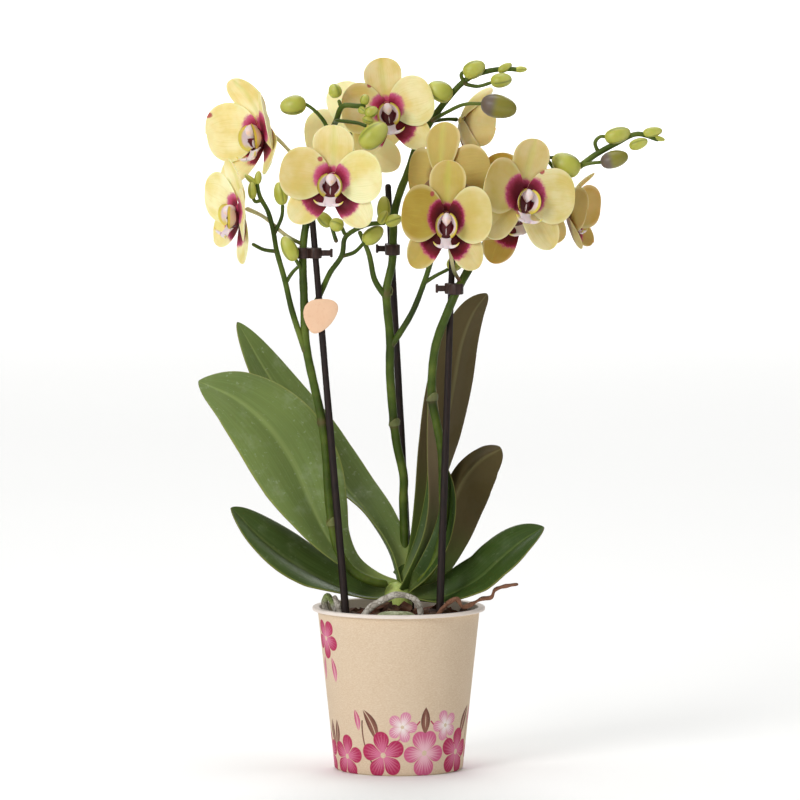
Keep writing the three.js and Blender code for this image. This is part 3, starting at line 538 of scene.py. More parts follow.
# Each bud: base, tip and radius. Each bloom's stalk: its route up to the bloom's back.
SPIKES = {"left": {
    "main": [[-6, -6, 97], [-15, -11.5, 99.5], [-24.3, -13.5, 105], [-31.5, -12.5, 115.9],
        [-35.6, -12, 136.7], [-37.7, -12, 165.9], [-39.7, -12, 182.5], [-43.9, -12, 201.8],
        [-48, -12, 222.4], [-49, -11, 245.7], [-49.6, -9, 270.5], [-48, -6, 284.3], [-43.9, 0, 296.9],
        [-38.8, 4, 314.9], [-35.6, 0, 330.7], [-32.4, -10, 338.4], [-28.7, -17, 346.5], [-21, -19, 346.6],
        [-16.9, -19, 346.6]],
    "twigs": [
        [[-48, -12.5, 218], [-55.3, -12, 240.5], [-58.9, -12, 255.9], [-63.1, -13, 271.3],
         [-65.1, -14, 282.8], [-67.7, -15, 292.1], [-71.8, -16, 299.9], [-73.5, -17, 308.5]],
        [[-48.6, -11.6, 228], [-45, -7.5, 239], [-40, -6.5, 250], [-35.5, -13, 260], [-29.3, -20, 269.7],
         [-27.7, -20, 278.5], [-23.6, -19, 282], [-15, -18, 285.5], [-6.6, -18, 286.1]]],
    "stalks": [[[-36, 0, 330], [-38.2, 0, 336.9], [-43.9, 0, 343.7], [-48.6, 0, 347]],
        [[-29.5, -16, 345], [-31, -13, 349.5]],
        [[-33, -10, 338], [-30.8, -20, 339], [-21, -24, 338], [-16.5, -26, 336.5]],
        [[-64.5, -13.5, 280], [-60.5, -13, 289], [-60, -12, 295.5]],
        [[-70.5, -16, 298], [-74, -18, 297.2], [-75.4, -18.5, 299.5]],
        [[-63, -13, 271], [-70, -12, 272], [-76, -12, 275]],
        [[-58.9, -12, 254], [-55, -11, 260], [-51.8, -11, 263.2]], [[-50.5, -11, 262], [-53.6, -15, 267.5]],
        [[-27.7, -20, 280], [-29.5, -20, 284.5]], [[-32, -20, 276], [-35, -17, 285]],
        [[-29.5, -20, 269], [-23, -19, 271], [-17.2, -16.5, 276.5]]],
    "buds": [[[-48, 0, 347.3], [-61.5, 0, 344.7], 5.2], [[-31.6, -12.5, 350.6], [-34.2, -12, 357.8], 3.5],
        [[-18.4, -18.5, 347.2], [-16.6, -18.3, 352.6], 2.4],
        [[-20.4, -19.5, 345.4], [-17.2, -21.6, 343.4], 2], [[-17.5, -20, 342], [-10.8, -20, 345.2], 3],
        [[-18.6, -20.6, 340.2], [-13, -21.4, 338.4], 2.3], [[-19.4, -27, 325.9], [-6.5, -27, 337.7], 5.8],
        [[-60, -12, 295], [-62, -12, 307], 3.6], [[-75.4, -18.5, 298.4], [-76, -18.5, 307.4], 2.3],
        [[-73, -17, 306], [-72.2, -17, 313], 1.9], [[-73.5, -17, 306], [-79.4, -17, 310.9], 1.6],
        [[-53.6, -15, 266.4], [-59.6, -15, 279], 4], [[-28.6, -20, 284], [-35.6, -20, 286.9], 3.6],
        [[-35, -17, 284.5], [-42, -16, 291.2], 3.4], [[-7.8, -16, 287], [-7.6, -14, 299.8], 3.5],
        [[-10, -18, 285.6], [-6, -18, 292.4], 2.6], [[-7, -18, 286], [1.5, -18, 288.9], 3.2],
        [[-18.2, -16, 275.8], [-8.4, -16, 283.6], 4.2]],
    "blooms": {"a": [[-39, 4, 315], [-54, 6, 320], [-61.7, 10, 327]],
        "b": [[-49, -8, 274], [-58, -11, 279], [-70, -12, 289]],
        "c": [[-44, 0, 297], [-38, -12, 306]],
        "e": [[-38.8, 4, 315], [-30, 6, 326]]},
}, "middle": {
    "main": [[2, 11, 98], [3, 14, 113], [2.4, 13, 139.6], [2.6, 10, 151.8], [-0.9, 6, 168.8],
        [-2.7, 3, 183.1], [-4.5, 1, 207.2], [-4.5, 0.5, 225.4], [-6.3, 0.5, 250], [-3.5, 1, 263.5],
        [-2.8, 2, 279.1], [-2.3, 3, 289.7], [0.9, 5, 301.3], [5.1, 8, 311.8], [9.4, 10, 324.5],
        [16.8, 10, 337.2], [25.2, 6, 349], [35.8, 3, 359.7], [47.3, 1, 364], [57.7, 0, 364.9],
        [64.4, 0, 364.1]],
    "twigs": [[[-6.3, 0.5, 246], [-12.3, -2, 255.3], [-15.4, -5, 269.1], [-20.5, -9, 281.5]],
        [[-4.4, 0.5, 220], [6.7, -3, 238.1], [12.9, -7, 253.7], [16.1, -11, 263.8], [21, -18, 283],
         [24.5, -21.5, 300]]],
    "stalks": [[[34, 3, 357.5], [32.4, 1, 362], [35, 0, 364.5]],
        [[34, 3, 357], [41, -1, 356], [48.5, -4, 358.2]],
        [[16.9, 8, 337.5], [24, 1, 342], [34, -5, 346.8], [43.5, -9, 347.4]],
        [[12.9, -7, 254], [19, -8, 258], [26, -8, 261.6]]],
    "buds": [[[27.4, 4, 350], [15.4, 2, 356.5], 5.4], [[33.6, 0, 362], [44.6, 0, 367.5], 4.6],
        [[47.6, -4.5, 358.4], [58.6, -5, 360], 3.9], [[42.6, -9.5, 348], [61, -10, 344], 6.2],
        [[51.5, 0, 363.5], [58.6, 0, 367.6], 2.2], [[60, 0, 364.6], [66.5, 0, 364.8], 1.7],
        [[25.8, -8, 261.5], [34.2, -8, 269.3], 4]],
    "blooms": {"d": [[9.4, 10, 324.5], [0, 11, 337]],
        "g": [[24, -21, 298], [25.5, -21, 306]],
        "h": [[16.8, 10, 337.2], [25, 18, 338]]},
}, "right": {
    "main": [[10, -4.5, 97], [17, -7, 105], [23, -9, 125.5], [23, -12, 146.8], [22.4, -13, 165.7],
        [19.9, -13, 180.9], [17.3, -13, 194.1], [17.7, -14, 212.5], [19.8, -17, 225.1],
        [24.4, -19.5, 237.9], [29.6, -19.4, 250], [34, -15, 258], [39.3, -7, 266.4], [47.3, 8, 276.5],
        [54.9, 14, 286.9], [68.1, 14, 299.5], [83.7, 7, 309.4], [91.9, -2, 313.3], [102.4, -2, 320.8],
        [112, -2, 326.1], [123.5, -2, 331.3], [135.2, -2, 328.2]],
    "twigs": [],
    "stalks": [[[85, 6, 310], [81, -1, 313], [77.4, -4, 318.6], [81.5, -6, 319.6]],
        [[103.5, -2, 321.5], [101.8, -3, 327], [104.5, -3, 330], [108, -3, 329.8]],
        [[91, -1, 313], [98, -5, 316], [106, -6, 317]]],
    "buds": [[[93.4, -7, 311.6], [79.8, -6, 319.6], 6], [[106.8, -3, 328.8], [120, -3, 332.8], 4.2],
        [[104.6, -6, 316.4], [118.8, -6, 320.4], 4.6], [[119.5, -2.5, 324.6], [129, -3, 328], 3],
        [[126.5, -2, 331.4], [136.6, -2, 333.2], 2.7], [[132, -2, 329.5], [138, -2, 328.2], 1.4]],
    "blooms": {"f": [[31.8, -17.4, 255.6], [28.5, -22, 262], [25.5, -28, 280]],
        "i": [[78, 11, 306], [73, 6, 315], [67.5, -4, 318], [64.5, -13, 312]],
        "j": [[83.7, 7, 309.4], [83.5, 12, 303]],
        "k": [[54.9, 14, 286.9], [57.5, 9.5, 288]]},
}}

# Each bloom: centre; heading, tilt, roll and cup in degrees; size and width, 1 being usual.
BLOOMS = {
    "a": ([-71, 8, 333], -52, 0, 13, 32, 1.12, 0.98),
    "b": ([-82, -10, 293], -66, -4, -14, 17, 1, 1),
    "c": ([-34, -26, 309.8], -8, 0, -3, 14, 1, 1),
    "d": ([-6.2, 4, 344.8], 4, 0, 8, 18, 0.97, 0.95),
    "e": ([-24.3, 16, 331], 172, 0, -12, 14, 0.98, 1),
    "f": ([24.4, -34, 289.9], 2, 0, -2, 14, 1.08, 0.81),
    "g": ([22.5, -16, 309.5], 148, 0, -5, 14, 1.03, 0.92),
    "h": ([33, 25, 337], 104, -12, 8, 34, 0.84, 1),
    "i": ([63.8, -22, 300.8], 26, 5, -12, 14, 1.06, 0.93),
    "j": ([88.5, 15, 291], 78, -4, 0, 34, 0.84, 1),
    "k": ([59.3, -2.5, 293.8], 4, 0, 19, 8, 1.03, 0.96),
}

# Each root: its route, radius, unevenness and how dry it is.
ROOTS = {
    "arch": ([[-21, -27, 78], [-15, -29, 87], [-9, -30, 91], [-1, -30, 94.3], [8, -30, 92], [11, -29, 87],
        [11, -27, 78]], 2, 0.16, 0.0),
    "loop": ([[-36, -8, 78], [-38.5, -9, 88], [-37, -10, 91.5], [-34, -10, 87],
        [-32, -10, 78]], 1.9, 0.1, 0.0),
    "stub": ([[-30, -19, 78], [-31, -20.5, 86], [-33.5, -21.5, 93]], 1.9, 0.12, 0.0),
    "dry": ([[17, -26, 78], [24, -26, 88], [30, -25, 91.5], [33, -24, 87.4], [37, -21, 88], [43, -20, 91],
        [48, -21, 92], [50, -22, 96], [58, -23, 98.5], [62, -23, 99]], 1.3, 0.3, 1.0),
}


# ---- camera, floor and light

PHOTO_WIDTH = 800                # pixels
FOCAL_PIXELS = 7720
SENSOR_WIDTH = 36
CAMERA_TARGET = (0.68, 0, 192.8)
CAMERA_DISTANCE = 4014
CAMERA_RISE = 4.84               # degrees above the horizon
FLOOR_HALF = 60000
WORLD_STRENGTH = 0.3
LIT_POINT = (0, 0, 220)
# Each round soft box: its place, what it points at, its diameter in metres and its power.
SOFT_BOXES = {
    "key": ((-1750, -2400, 1500), LIT_POINT, 1.3, 50),
    "fill": ((2200, -1600, 700), LIT_POINT, 1.6, 3),
    "top": ((-100, 200, 2400), LIT_POINT, 1.5, 22),
    "backdrop": ((0, 9000, 5000), (0, 9000, 0), 9, 800),
}


def aim(thing, place, target):
    thing.location = Vector(place) * MM
    thing.rotation_euler = (Vector(target) - Vector(place)).to_track_quat("-Z", "Y").to_euler()


def make_camera():
    data = bpy.data.cameras.new("camera")
    data.sensor_width = SENSOR_WIDTH
    data.lens = FOCAL_PIXELS / PHOTO_WIDTH * SENSOR_WIDTH
    data.clip_start, data.clip_end = 0.1, 100
    camera = put_in_scene("camera", data)
    rise = math.radians(CAMERA_RISE)
    back = Vector((0, -math.cos(rise), math.sin(rise))) * CAMERA_DISTANCE
    aim(camera, Vector(CAMERA_TARGET) + back, CAMERA_TARGET)
    bpy.context.scene.camera = camera


def make_floor():
    paint = Finish("floor_paper")
    paint.tint = paint.blend(paint.noise(3, 2), "fcfcfb", "fefefd")
    paper = paint.done(0.9, shine=0.1)
    corners = [(x * FLOOR_HALF, y * FLOOR_HALF, 0) for x, y in ((-1, -1), (1, -1), (1, 1), (-1, 1))]
    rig.stage(Shape().add(corners, [[0, 1, 2, 3]]).finished("floor", paper))


def make_lights():
    world = bpy.data.worlds.new("studio")
    world.use_nodes = True
    backdrop = world.node_tree.nodes["Background"]
    backdrop.inputs["Color"].default_value = colour("fdfdfc")
    backdrop.inputs["Strength"].default_value = WORLD_STRENGTH
    bpy.context.scene.world = world
    for name, (place, target, size, power) in SOFT_BOXES.items():
        data = bpy.data.lights.new(name, "AREA")
        data.shape, data.size, data.energy = "DISK", size, power
        aim(put_in_scene(name, data), place, target)
    bpy.context.scene.view_settings.view_transform = "Standard"


# ---- the pot and its print

def motif_group(name, draw):
    """A node group that draws one printed motif round a centre: its mask and its shade."""
    given = {"Place": "Vector", "Centre": "Vector", "Turn": "Float", "Size": "Float", "Bend": "Float"}
    tree = node_group(name, "ShaderNodeTree", given, {"Mask": "Float", "Shade": "Float"})
    moved = tree.vector("SUBTRACT", tree.given("Place"), tree.given("Centre"))
    turned = tree.node("ShaderNodeVectorRotate", {"Vector": moved, "Angle": tree.given("Turn")},
                       rotation_type="Z_AXIS")
    x, y, _ = tree.split(tree.scaled(turned, tree.given("Size").math("POWER", -1)))
    mask, shade = draw(x, y, tree.given("Bend"))
    tree.node("NodeGroupOutput", {"Mask": mask, "Shade": shade})
    return tree.tree


def draw_blossom(x, y, bend):
    """Five broad petals with a gap between neighbours and rays towards the tips."""
    reach = (x * x + y * y).math("SQRT")
    angle = y.math("ARCTAN2", x)
    wave = abs((angle * 2.5).math("COSINE"))
    edge = wave.math("POWER", 0.45) * 0.62 + 0.36
    inside = (edge - reach).step(-0.01, 0.03)
    rays = (angle * 35).math("SINE") * bend
    return inside * wave.step(0.05, 0.12) * reach.step(0.10, 0.13), reach / edge + rays


def draw_leaf(x, y, bend):
    """A pointed leaf along X from -1 to 1, bent sideways, with a bare midrib."""
    off = abs(y - x * x * bend)
    inside = ((1 - x * x) * 0.3 - off).step(-0.01, 0.03)
    return inside * off.step(0.012, 0.035), x * 0.4 + off * 2.5


def draw_twig(x, y, bend):
    """A thin stroke along X from -1 to 1, bent sideways."""
    inside = abs(y - x * x * bend).step(0.045, 0.02)
    return inside * abs(x).step(1.0, 0.97), x * x + 0.3


# The print is one tile that is mirrored from tile to tile round the pot. Each motif:
# kind, ink, place in the tile in millimetres, turn in degrees, size and bend.
PRINT_GIRTH = 240                # millimetres round the pot at the print's middle
TILE_COUNT = 4                   # an even number, so that the print meets itself behind
PRINT_SHIFT = 45                 # millimetres from the first tile's edge to the pot's front
TILE_MOTIFS = [
    ("twig", "rose", (48, 21), 35, 12, 0.12),
    ("twig", "brown", (25, 16), 105, 13, -0.2),
    ("leaf", "brown", (30, 27), 115, 9.5, 0.15),
    ("leaf", "brown", (60, 29), 90, 9, -0.15),
    ("leaf", "rose", (21, 29), 100, 6, 0.1),
    ("leaf", "brown", (3, 20), 80, 8, 0.15),
    ("leaf", "rose", (6, 54), 100, 7, 0.1),
    ("blossom", "pink", (60, 12), 40, 12.5, 0.12),
    ("blossom", "rose", (11, 9), 10, 12, 0.14),
    ("blossom", "rose", (36, 11), 25, 13, 0.14),
    ("blossom", "pale", (47, 26), 70, 8.5, 0.2),
    ("blossom", "rose", (0, 70), 54, 11, 0.12),
]
INKS = {
    "rose": ("d77a9c", "b22a57"),
    "pink": ("efc3cd", "cd5f88"),
    "pale": ("f7eeea", "d886a4"),
    "brown": ("8a5a4c", "5d332b"),
}


def kraft_finish():
    """Kraft-brown pot wall with a printed botanical band, and a pale flange and inside."""
    paint = Finish("printed_kraft")
    long_grain = paint.stretched(1, 1, 3)
    fibre = paint.noise(900, 5, 0.65, long_grain)
    paint.cloud = paint.noise(45, 4)
    paint.tint = paint.blend(paint.cloud, "cfb494", "dcc6aa")
    paint.lay(fibre.step(0.35, 0.7), "e2cfb6")
    paint.lay(paint.noise(2600, 2, 0.5, long_grain).step(0.66, 0.74) * 0.35, "a98560")
    drawings = {"blossom": draw_blossom, "leaf": draw_leaf, "twig": draw_twig}
    groups = {name: motif_group("printed_" + name, draw) for name, draw in drawings.items()}
    wrap = paint.scaled(paint.node("ShaderNodeUVMap", uv_map="wrap"), 1 / MM)
    worn = paint.noise(1.6, 3, 0.5, wrap).step(0.30, 0.42, 0.82, 1.0)
    x, y, _ = paint.split(wrap)
    tile = paint.join((x + PRINT_SHIFT).math("PINGPONG", PRINT_GIRTH / TILE_COUNT), y)
    for motif, ink, place, turn, size, bend in TILE_MOTIFS:
        inputs = {"Place": tile, "Centre": (*place, 0), "Turn": math.radians(-turn), "Size": size,
                  "Bend": bend}
        mask, shade = paint.node("ShaderNodeGroup", inputs, None, node_tree=groups[motif])
        paint.lay(mask * worn, paint.blend(shade.step(0.1, 0.95), *INKS[ink]))
    under_rim = POT_HEIGHT - RIM_HEIGHT
    rim = paint.split(paint.place)[2].step((under_rim - 0.3) * MM, under_rim * MM)
    paint.lay(rim.math("MAXIMUM", paint.mark("inside")), "e6d8cd", "efe5dc")
    return paint.done(fibre.step(0.2, 0.8, 0.62, 0.78), fibre, (0.25, 0.12), 0.3)


def make_pot():
    """The tapered cup with its flange, one closed wall from base to inner floor."""
    under_rim = POT_HEIGHT - RIM_HEIGHT
    below = under_rim - 4
    wall = [(pot_radius(z), z) for z in np.linspace(1, under_rim, 30)]
    outside = rounded([(0, 0), (POT_BASE_RADIUS - 1, 0)] + wall[:1], 0.6) + wall[1:-1]
    mouth = rounded([*wall[-2:], (RIM_RADIUS, under_rim), (RIM_RADIUS, POT_HEIGHT),
                     (POT_TOP_RADIUS - POT_WALL, POT_HEIGHT), (pot_radius(below) - POT_WALL, below)], 0.7)
    inner = [(pot_radius(POT_FLOOR) - POT_WALL, POT_FLOOR), (0, POT_FLOOR)]
    points, faces = lathe(outside + mouth[1:] + inner, 128)
    radius, height = np.linalg.norm(points[..., :2], axis=-1), points[..., 2]
    inside = (radius < pot_radius(height) - 0.5 * POT_WALL) & (height > 1)
    pot = Shape().add(points, faces, inside=inside).finished("pot_printed", kraft_finish(), 50)
    wrap = pot.data.uv_layers.new(name="wrap")
    for face in pot.data.polygons:
        middle = math.atan2(face.center.x, -face.center.y)
        for corner in face.loop_indices:
            place = pot.data.vertices[pot.data.loops[corner].vertex_index].co
            angle = math.atan2(place.x, -place.y)
            turns = angle / (2 * math.pi) + round((middle - angle) / (2 * math.pi))
            wrap.data[corner].uv = (PRINT_GIRTH * MM * turns, place.z)
    settle(pot, "pot", "pot")


# ---- bark and roots

MOUND = {"centre": (-3, -19), "reach": (15, 8), "height": 8}     # the bark in front of the crown
BARK_SHOULDER = BARK_LEVEL - 4   # height to which the plug fills the pot's width
BARK_TOP_RADIUS = 38.5           # of its top, inside the sloping shoulder
LUMP_HEIGHT = 0.45
CHIP_SPACING = 5.2
CHIP_LENGTH = 11
CHIP_SHARES = (1, 0.55, 0.32)    # length, width and thickness of a chip to its length
CHIP_SIZES = (0.55, 1.15)        # the smallest and the largest to the usual
CHIP_LEAN = 0.45                 # radians off the level at most
CHIP_WEAR = 4.2                  # millimetres over which noise shifts their corners
CHIP_BED = 34.5                  # radius of the bed that they lie on
CHIP_DENSITY = 60000             # to the square metre at most
CHIP_SEED = 7


def bark_finish():
    paint = Finish("potting_bark")
    grain = paint.noise(420, 6, 0.7, paint.stretched(1, 3, 1))
    paint.tint = paint.ramp(paint.noise(95, 3), (0.25, "1d120d"), (0.45, "43281b"), (0.6, "6b4230"),
                            (0.75, "94694a"))
    paint.lay(grain.step(0.45, 0.75), "2a1a13")
    paint.lay(paint.cells(110).step(0.35, 0.9, 0, 0.35), "a98a6d")
    return paint.done(0.92, grain, (0.9, 0.7), 0.2)


def chip_tree():
    """Scatters rough chips over the upward faces of a plug."""
    given = {"Geometry": "Geometry", "Spacing": "Float", "Length": "Float", "Seed": "Int", "Bark": "Material"}
    grow = node_group("scattered_chips", "GeometryNodeTree", given, {"Geometry": "Geometry"})
    plug, place = grow.given("Geometry"), grow.node("GeometryNodeInputPosition")
    radius = grow.vector("LENGTH", grow.vector("MULTIPLY", place, (1, 1, 0)), output="Value")
    high = grow.split(place)[2].math("GREATER_THAN", BARK_SHOULDER * MM)
    points = grow.node("GeometryNodeDistributePointsOnFaces", {
        "Mesh": plug, "Selection": high * radius.math("LESS_THAN", CHIP_BED * MM),
        "Distance Min": grow.given("Spacing"), "Density Max": CHIP_DENSITY, "Seed": grow.given("Seed"),
    }, distribute_method="POISSON")
    block = grow.node("GeometryNodeMeshCube", {
        "Size": CHIP_SHARES, "Vertices X": 4, "Vertices Y": 3, "Vertices Z": 2})
    lean = grow.node("FunctionNodeRandomValue", {
        0: (-CHIP_LEAN, -CHIP_LEAN, -3.14), 1: (CHIP_LEAN, CHIP_LEAN, 3.14), "Seed": 11,
    }, data_type="FLOAT_VECTOR")
    smallest, largest = CHIP_SIZES
    growth = grow.node("FunctionNodeRandomValue", {2: smallest, 3: largest, "Seed": 23}, 1, data_type="FLOAT")
    size = growth * grow.given("Length")
    placed = grow.node("GeometryNodeInstanceOnPoints", {
        "Points": points, "Instance": block, "Scale": grow.join(size, size, size),
        "Rotation": grow.node("FunctionNodeEulerToRotation", {0: lean})})
    loose = grow.node("GeometryNodeRealizeInstances", {0: placed})
    rough = grow.node("ShaderNodeTexNoise", {"Vector": place, "Scale": 190.0, "Detail": 3.0}, "Color")
    shift = grow.scaled(grow.vector("SUBTRACT", rough, (0.5, 0.5, 0.5)), CHIP_WEAR * MM)
    worn = grow.node("GeometryNodeSetPosition", {"Geometry": loose, "Offset": shift})
    joined = grow.node("GeometryNodeJoinGeometry")
    for part in (worn, plug):
        grow.tree.links.new(part.socket, joined.socket.node.inputs[0])
    inputs = {"Geometry": joined, "Material": grow.given("Bark")}
    grow.node("NodeGroupOutput", {"Geometry": grow.node("GeometryNodeSetMaterial", inputs)})
    return grow.tree


def make_bark():
    """The plug of bark: a low dome with lumps, a mound before the crown, and loose chips."""
    finish = bark_finish()
    floor = POT_FLOOR + GAP
    side = [(pot_radius(z) - POT_WALL - GAP, max(z, floor)) for z in (POT_FLOOR, BARK_SHOULDER)]
    radii = np.linspace(BARK_TOP_RADIUS, 0, 24)
    crest = [*zip(radii, BARK_LEVEL + 0.8 - 0.001 * radii ** 2)]
    points, faces = lathe([(0, floor)] + side + crest, 96)
    x, y, z = points.reshape(-1, 3).T
    on_top = z > BARK_LEVEL - 3
    lumps = np.sin(x * 0.9) * np.cos(y * 1.1) + np.sin(x * 0.37 + y * 0.51)
    (middle_x, middle_y), (reach_x, reach_y) = MOUND["centre"], MOUND["reach"]
    mound = np.hypot((x - middle_x) / reach_x, (y - middle_y) / reach_y)
    z += MOUND["height"] * np.exp(-mound ** 2) * on_top
    z += LUMP_HEIGHT * lumps * on_top * (np.hypot(x, y) > 0.5)
    bark = Shape().add(points, faces).finished("bark_chips", finish)
    run_tree(bark, chip_tree(), Spacing=CHIP_SPACING * MM, Length=CHIP_LENGTH * MM, Seed=CHIP_SEED,
             Bark=finish)
    bark.data.polygons.foreach_set("use_smooth", [False] * len(bark.data.polygons))
    settle(bark, "bark", "bark")


def sprout_tree():
    """Sweeps a round section along chains of points whose girth is marked at each point."""
    given = {"Geometry": "Geometry", "Sides": "Int", "Skin": "Material"}
    grow = node_group("swept_stems", "GeometryNodeTree", given, {"Geometry": "Geometry"})
    swept = grow.node("GeometryNodeCurveToMesh", {
        "Curve": grow.node("GeometryNodeMeshToCurve", {"Mesh": grow.given("Geometry")}),
        "Profile Curve": grow.node("GeometryNodeCurvePrimitiveCircle", {
            "Resolution": grow.given("Sides"), "Radius": 1.0}),
        "Scale": grow.node("GeometryNodeInputNamedAttribute", {"Name": "girth"}), "Fill Caps": True})
    loose = grow.node("GeometryNodeRealizeInstances", {0: swept})
    smooth = grow.node("GeometryNodeSetShadeSmooth", {"Geometry": loose})
    inputs = {"Geometry": smooth, "Material": grow.given("Skin")}
    grow.node("NodeGroupOutput", {"Geometry": grow.node("GeometryNodeSetMaterial", inputs)})
    return grow.tree


def chain(points, radius_at, seed, rough=0.0, spacing=0.9):
    """Close points along a route, closing to a round end at both ends, with girths and shares.
    rough is the size of a smooth, repeatable unevenness of the girth."""
    route = smooth_route(points)
    total = route[1][-1]
    ends = np.array([0, 0.06, 0.2, 0.45, 0.75, 1]) * max(radius_at(0), radius_at(1))
    run = np.concatenate([ends, np.arange(ends[-1] + spacing, total - ends[-1], spacing), total - ends[::-1]])
    run = np.unique(np.clip(run, 0, total))
    share = run / total
    girth = np.array([radius_at(t) for t in share])
    random = np.random.default_rng(seed)
    waves = zip(random.uniform(0.1, 0.6, 5), random.uniform(0, 6.28, 5))
    wavy = girth + rough * sum(np.sin(np.arange(len(run)) * rate + shift) for rate, shift in waves) / 3
    girth = np.maximum(wavy, 0.3 * girth)
    gap = np.minimum(run, total - run) / np.maximum(girth, 1e-6)
    girth = girth * np.sqrt(np.clip(1 - (1 - np.clip(gap, 0, 1)) ** 2, 0.0004, 1))
    return along_route(route, share), girth, share


def sweep(name, chains, tree, finish, sides):
    """One mesh of many swept chains: each is (points, girth, marks)."""
    edges, parts, start = [], [], 0
    for line, girth, marks in chains:
        edges += [(start + i, start + i + 1) for i in range(len(line) - 1)]
        parts.append((len(line), {"girth": girth * MM, **marks}))
        start += len(line)
    mesh = bpy.data.meshes.new(name)
    mesh.from_pydata(np.vstack([line for line, _, _ in chains]) * MM, edges, [])
    write_marks(mesh, parts)
    return run_tree(put_in_scene(name, mesh), tree, Sides=sides, Skin=finish)


def root_finish():
    """Silvery root skin that cracks to brown, and greens where the mark says so."""
    paint = Finish("silvery_root")
    skin = paint.cloud = paint.noise(260, 5, 0.6)
    crack = paint.cells(330, "DISTANCE_TO_EDGE")
    paint.tint = paint.ramp(skin, (0.3, "7d766a"), (0.5, "b3aca0"), (0.72, "dcd8ce"))
    paint.lay(crack.step(0.07, 0.01, 0, 0.4), "5d4a3a")
    paint.lay(paint.mark("green"), "7f9a58", "b6c47c")
    paint.lay(paint.mark("dry"), "4a2c20", "a3755a")
    return paint.done(0.8, skin + crack.step(0, 0.12), (0.7, 0.5), 0.25)


# A root that lies half sunk in the bark, near the front of the rim.
LYING_ROOT = [[-13, -34, 79], [-9, -36, 83.6], [-1, -37.5, 84.6], [6, -36.5, 83.8], [10, -33, 79]]
LYING_ROOT_RADIUS = 2
ROOT_SIDES = 16


def make_roots(tree):
    finish = root_finish()
    for index, (name, (route, radius, rough, dry)) in enumerate(ROOTS.items()):
        line, girth, share = chain(route, lambda t: radius * (1 - 0.3 * t), index + 3, rough, 0.5)
        green = smooth_step(0.3, 0.5, share) * smooth_step(0.75, 0.6, share) * (name == "loop")
        marks = {"green": green, "dry": dry}
        skin = sweep("root_" + name + "_skin", [(line, girth, marks)], tree, finish, ROOT_SIDES)
        settle(skin, "root_" + name, "root")
    line, girth, _ = chain(LYING_ROOT, lambda t: LYING_ROOT_RADIUS, 19, 0.1)
    skin = sweep("bark_root", [(line, girth, {"green": 0.45})], tree, finish, ROOT_SIDES)
    settle(skin, "bark", "root")


# ---- crown and leaves

def leaf_finish():
    """Waxy green with a paler midrib, a thin yellow margin, dusty patches and a duller back, darkened by painted shade
    where the mark says so.
    """
    paint = Finish("waxy_leaf")
    across, along, dark, under = paint.marks("across along dark under")
    cloud = paint.cloud = paint.noise(22, 4)
    vein = paint.noise(1.0, 3, 0.6, paint.join(across * 34, along * 3))
    # light is the share that the painted shade leaves unshaded; it holds back the pale midrib, veins, root and dust.
    light = dark.step(0, 1, 1, 0.3)
    rib = abs(across).step(0.12, 0.0) * light.step(0, 1, 0.1, 0.4)
    dust = paint.noise(60, 5, 0.65).step(0.52, 0.72)
    fleck = paint.noise(420, 2).step(0.64, 0.7)
    paint.tint = paint.blend(cloud, "63563c", "786a4e")
    # Painted shade on the back of the leaf.
    paint.lay(dark, "453b1e", "594d2b")
    paint.lay(along.step(0.5, 0.1, 0, 0.9), "4c6420")
    paint.lay(rib, "a3a06f")
    back = paint.tint
    paint.tint = paint.blend(cloud, "5a6a37", "7f9150")
    # Painted shade on the face of the leaf.
    paint.lay(dark, "28380f", "37501a")
    paint.lay(along.step(0.2, 0.02, 0, 0.8) * light, "a9b765")
    paint.lay(vein.step(0.4, 0.7, 0, 0.25) * light, "8fa862")
    paint.lay(rib, "a3b36d")
    paint.lay((dust * 0.28 + fleck * 0.3) * light, "a9b592")
    paint.lay(abs(across).step(0.94, 0.99) * 0.35, "a8a851")
    paint.lay(under, back)
    rough = dust.step(0, 1, 0.42, 0.6) + under * 0.35
    return paint.done(rough, vein * 0.6 + cloud * 1.5, (0.35, 0.3), 0.22, glow=0.06)


def leaf_surface(leaf):
    """The middle of a leaf: a shallow channel along the midrib between two arched halves."""
    route = smooth_route(leaf["midrib"])
    root_face, tip_face = np.array(leaf["face"], float)
    channel, step = 1.6, 2e-3

    def surface(u, v):
        ahead, behind = np.minimum(u + step, 1), np.maximum(u - step, 0)
        along = unit(along_route(route, ahead) - along_route(route, behind))
        side = unit(np.cross(along, mix(root_face, tip_face, u[..., None])))
        up = np.cross(side, along)
        full = leaf["half"] * outline(u, *leaf["form"])
        half = full * v
        rise = np.radians(mix(*leaf["fold"], np.minimum(2 * u, 1)))
        lift = (np.sqrt(half ** 2 + channel ** 2) - channel) * np.sin(rise)
        arch = 0.07 * full * np.sin(np.pi * np.abs(v)) * smooth_step(0.1, 0.4, u)
        wave = 0.5 * np.sin(11 * u + 2 * v) * np.abs(v) ** 2
        return (along_route(route, u) + side * (half * np.cos(rise))[..., None]
                + up * (lift + arch + wave)[..., None])
    return surface


def make_leaves():
    finish = leaf_finish()
    for name, leaf in LEAVES.items():
        points, faces, marks = blade(leaf_surface(leaf), 72, 20, LEAF_THICKNESS, rim=0.3)
        # Painted shade: each side of the leaf takes its own amount of painted darkening.
        above, behind = leaf["dark"]
        dark = mix(behind, above, marks["under"])
        marks["under"] = 1 - marks["under"]
        Shape().add(points, faces, dark=dark, **marks).replace("leaf_" + name, "_blade", "leaf", finish, 60)


CROWN_CENTRE = (-0.5, 1)
CROWN_PROFILE = [(0, 62), (6, 62), (7, 78), (7.6, 87), (7.4, 93), (4.5, 97), (0, 98)]
CROWN_SIDES = 64


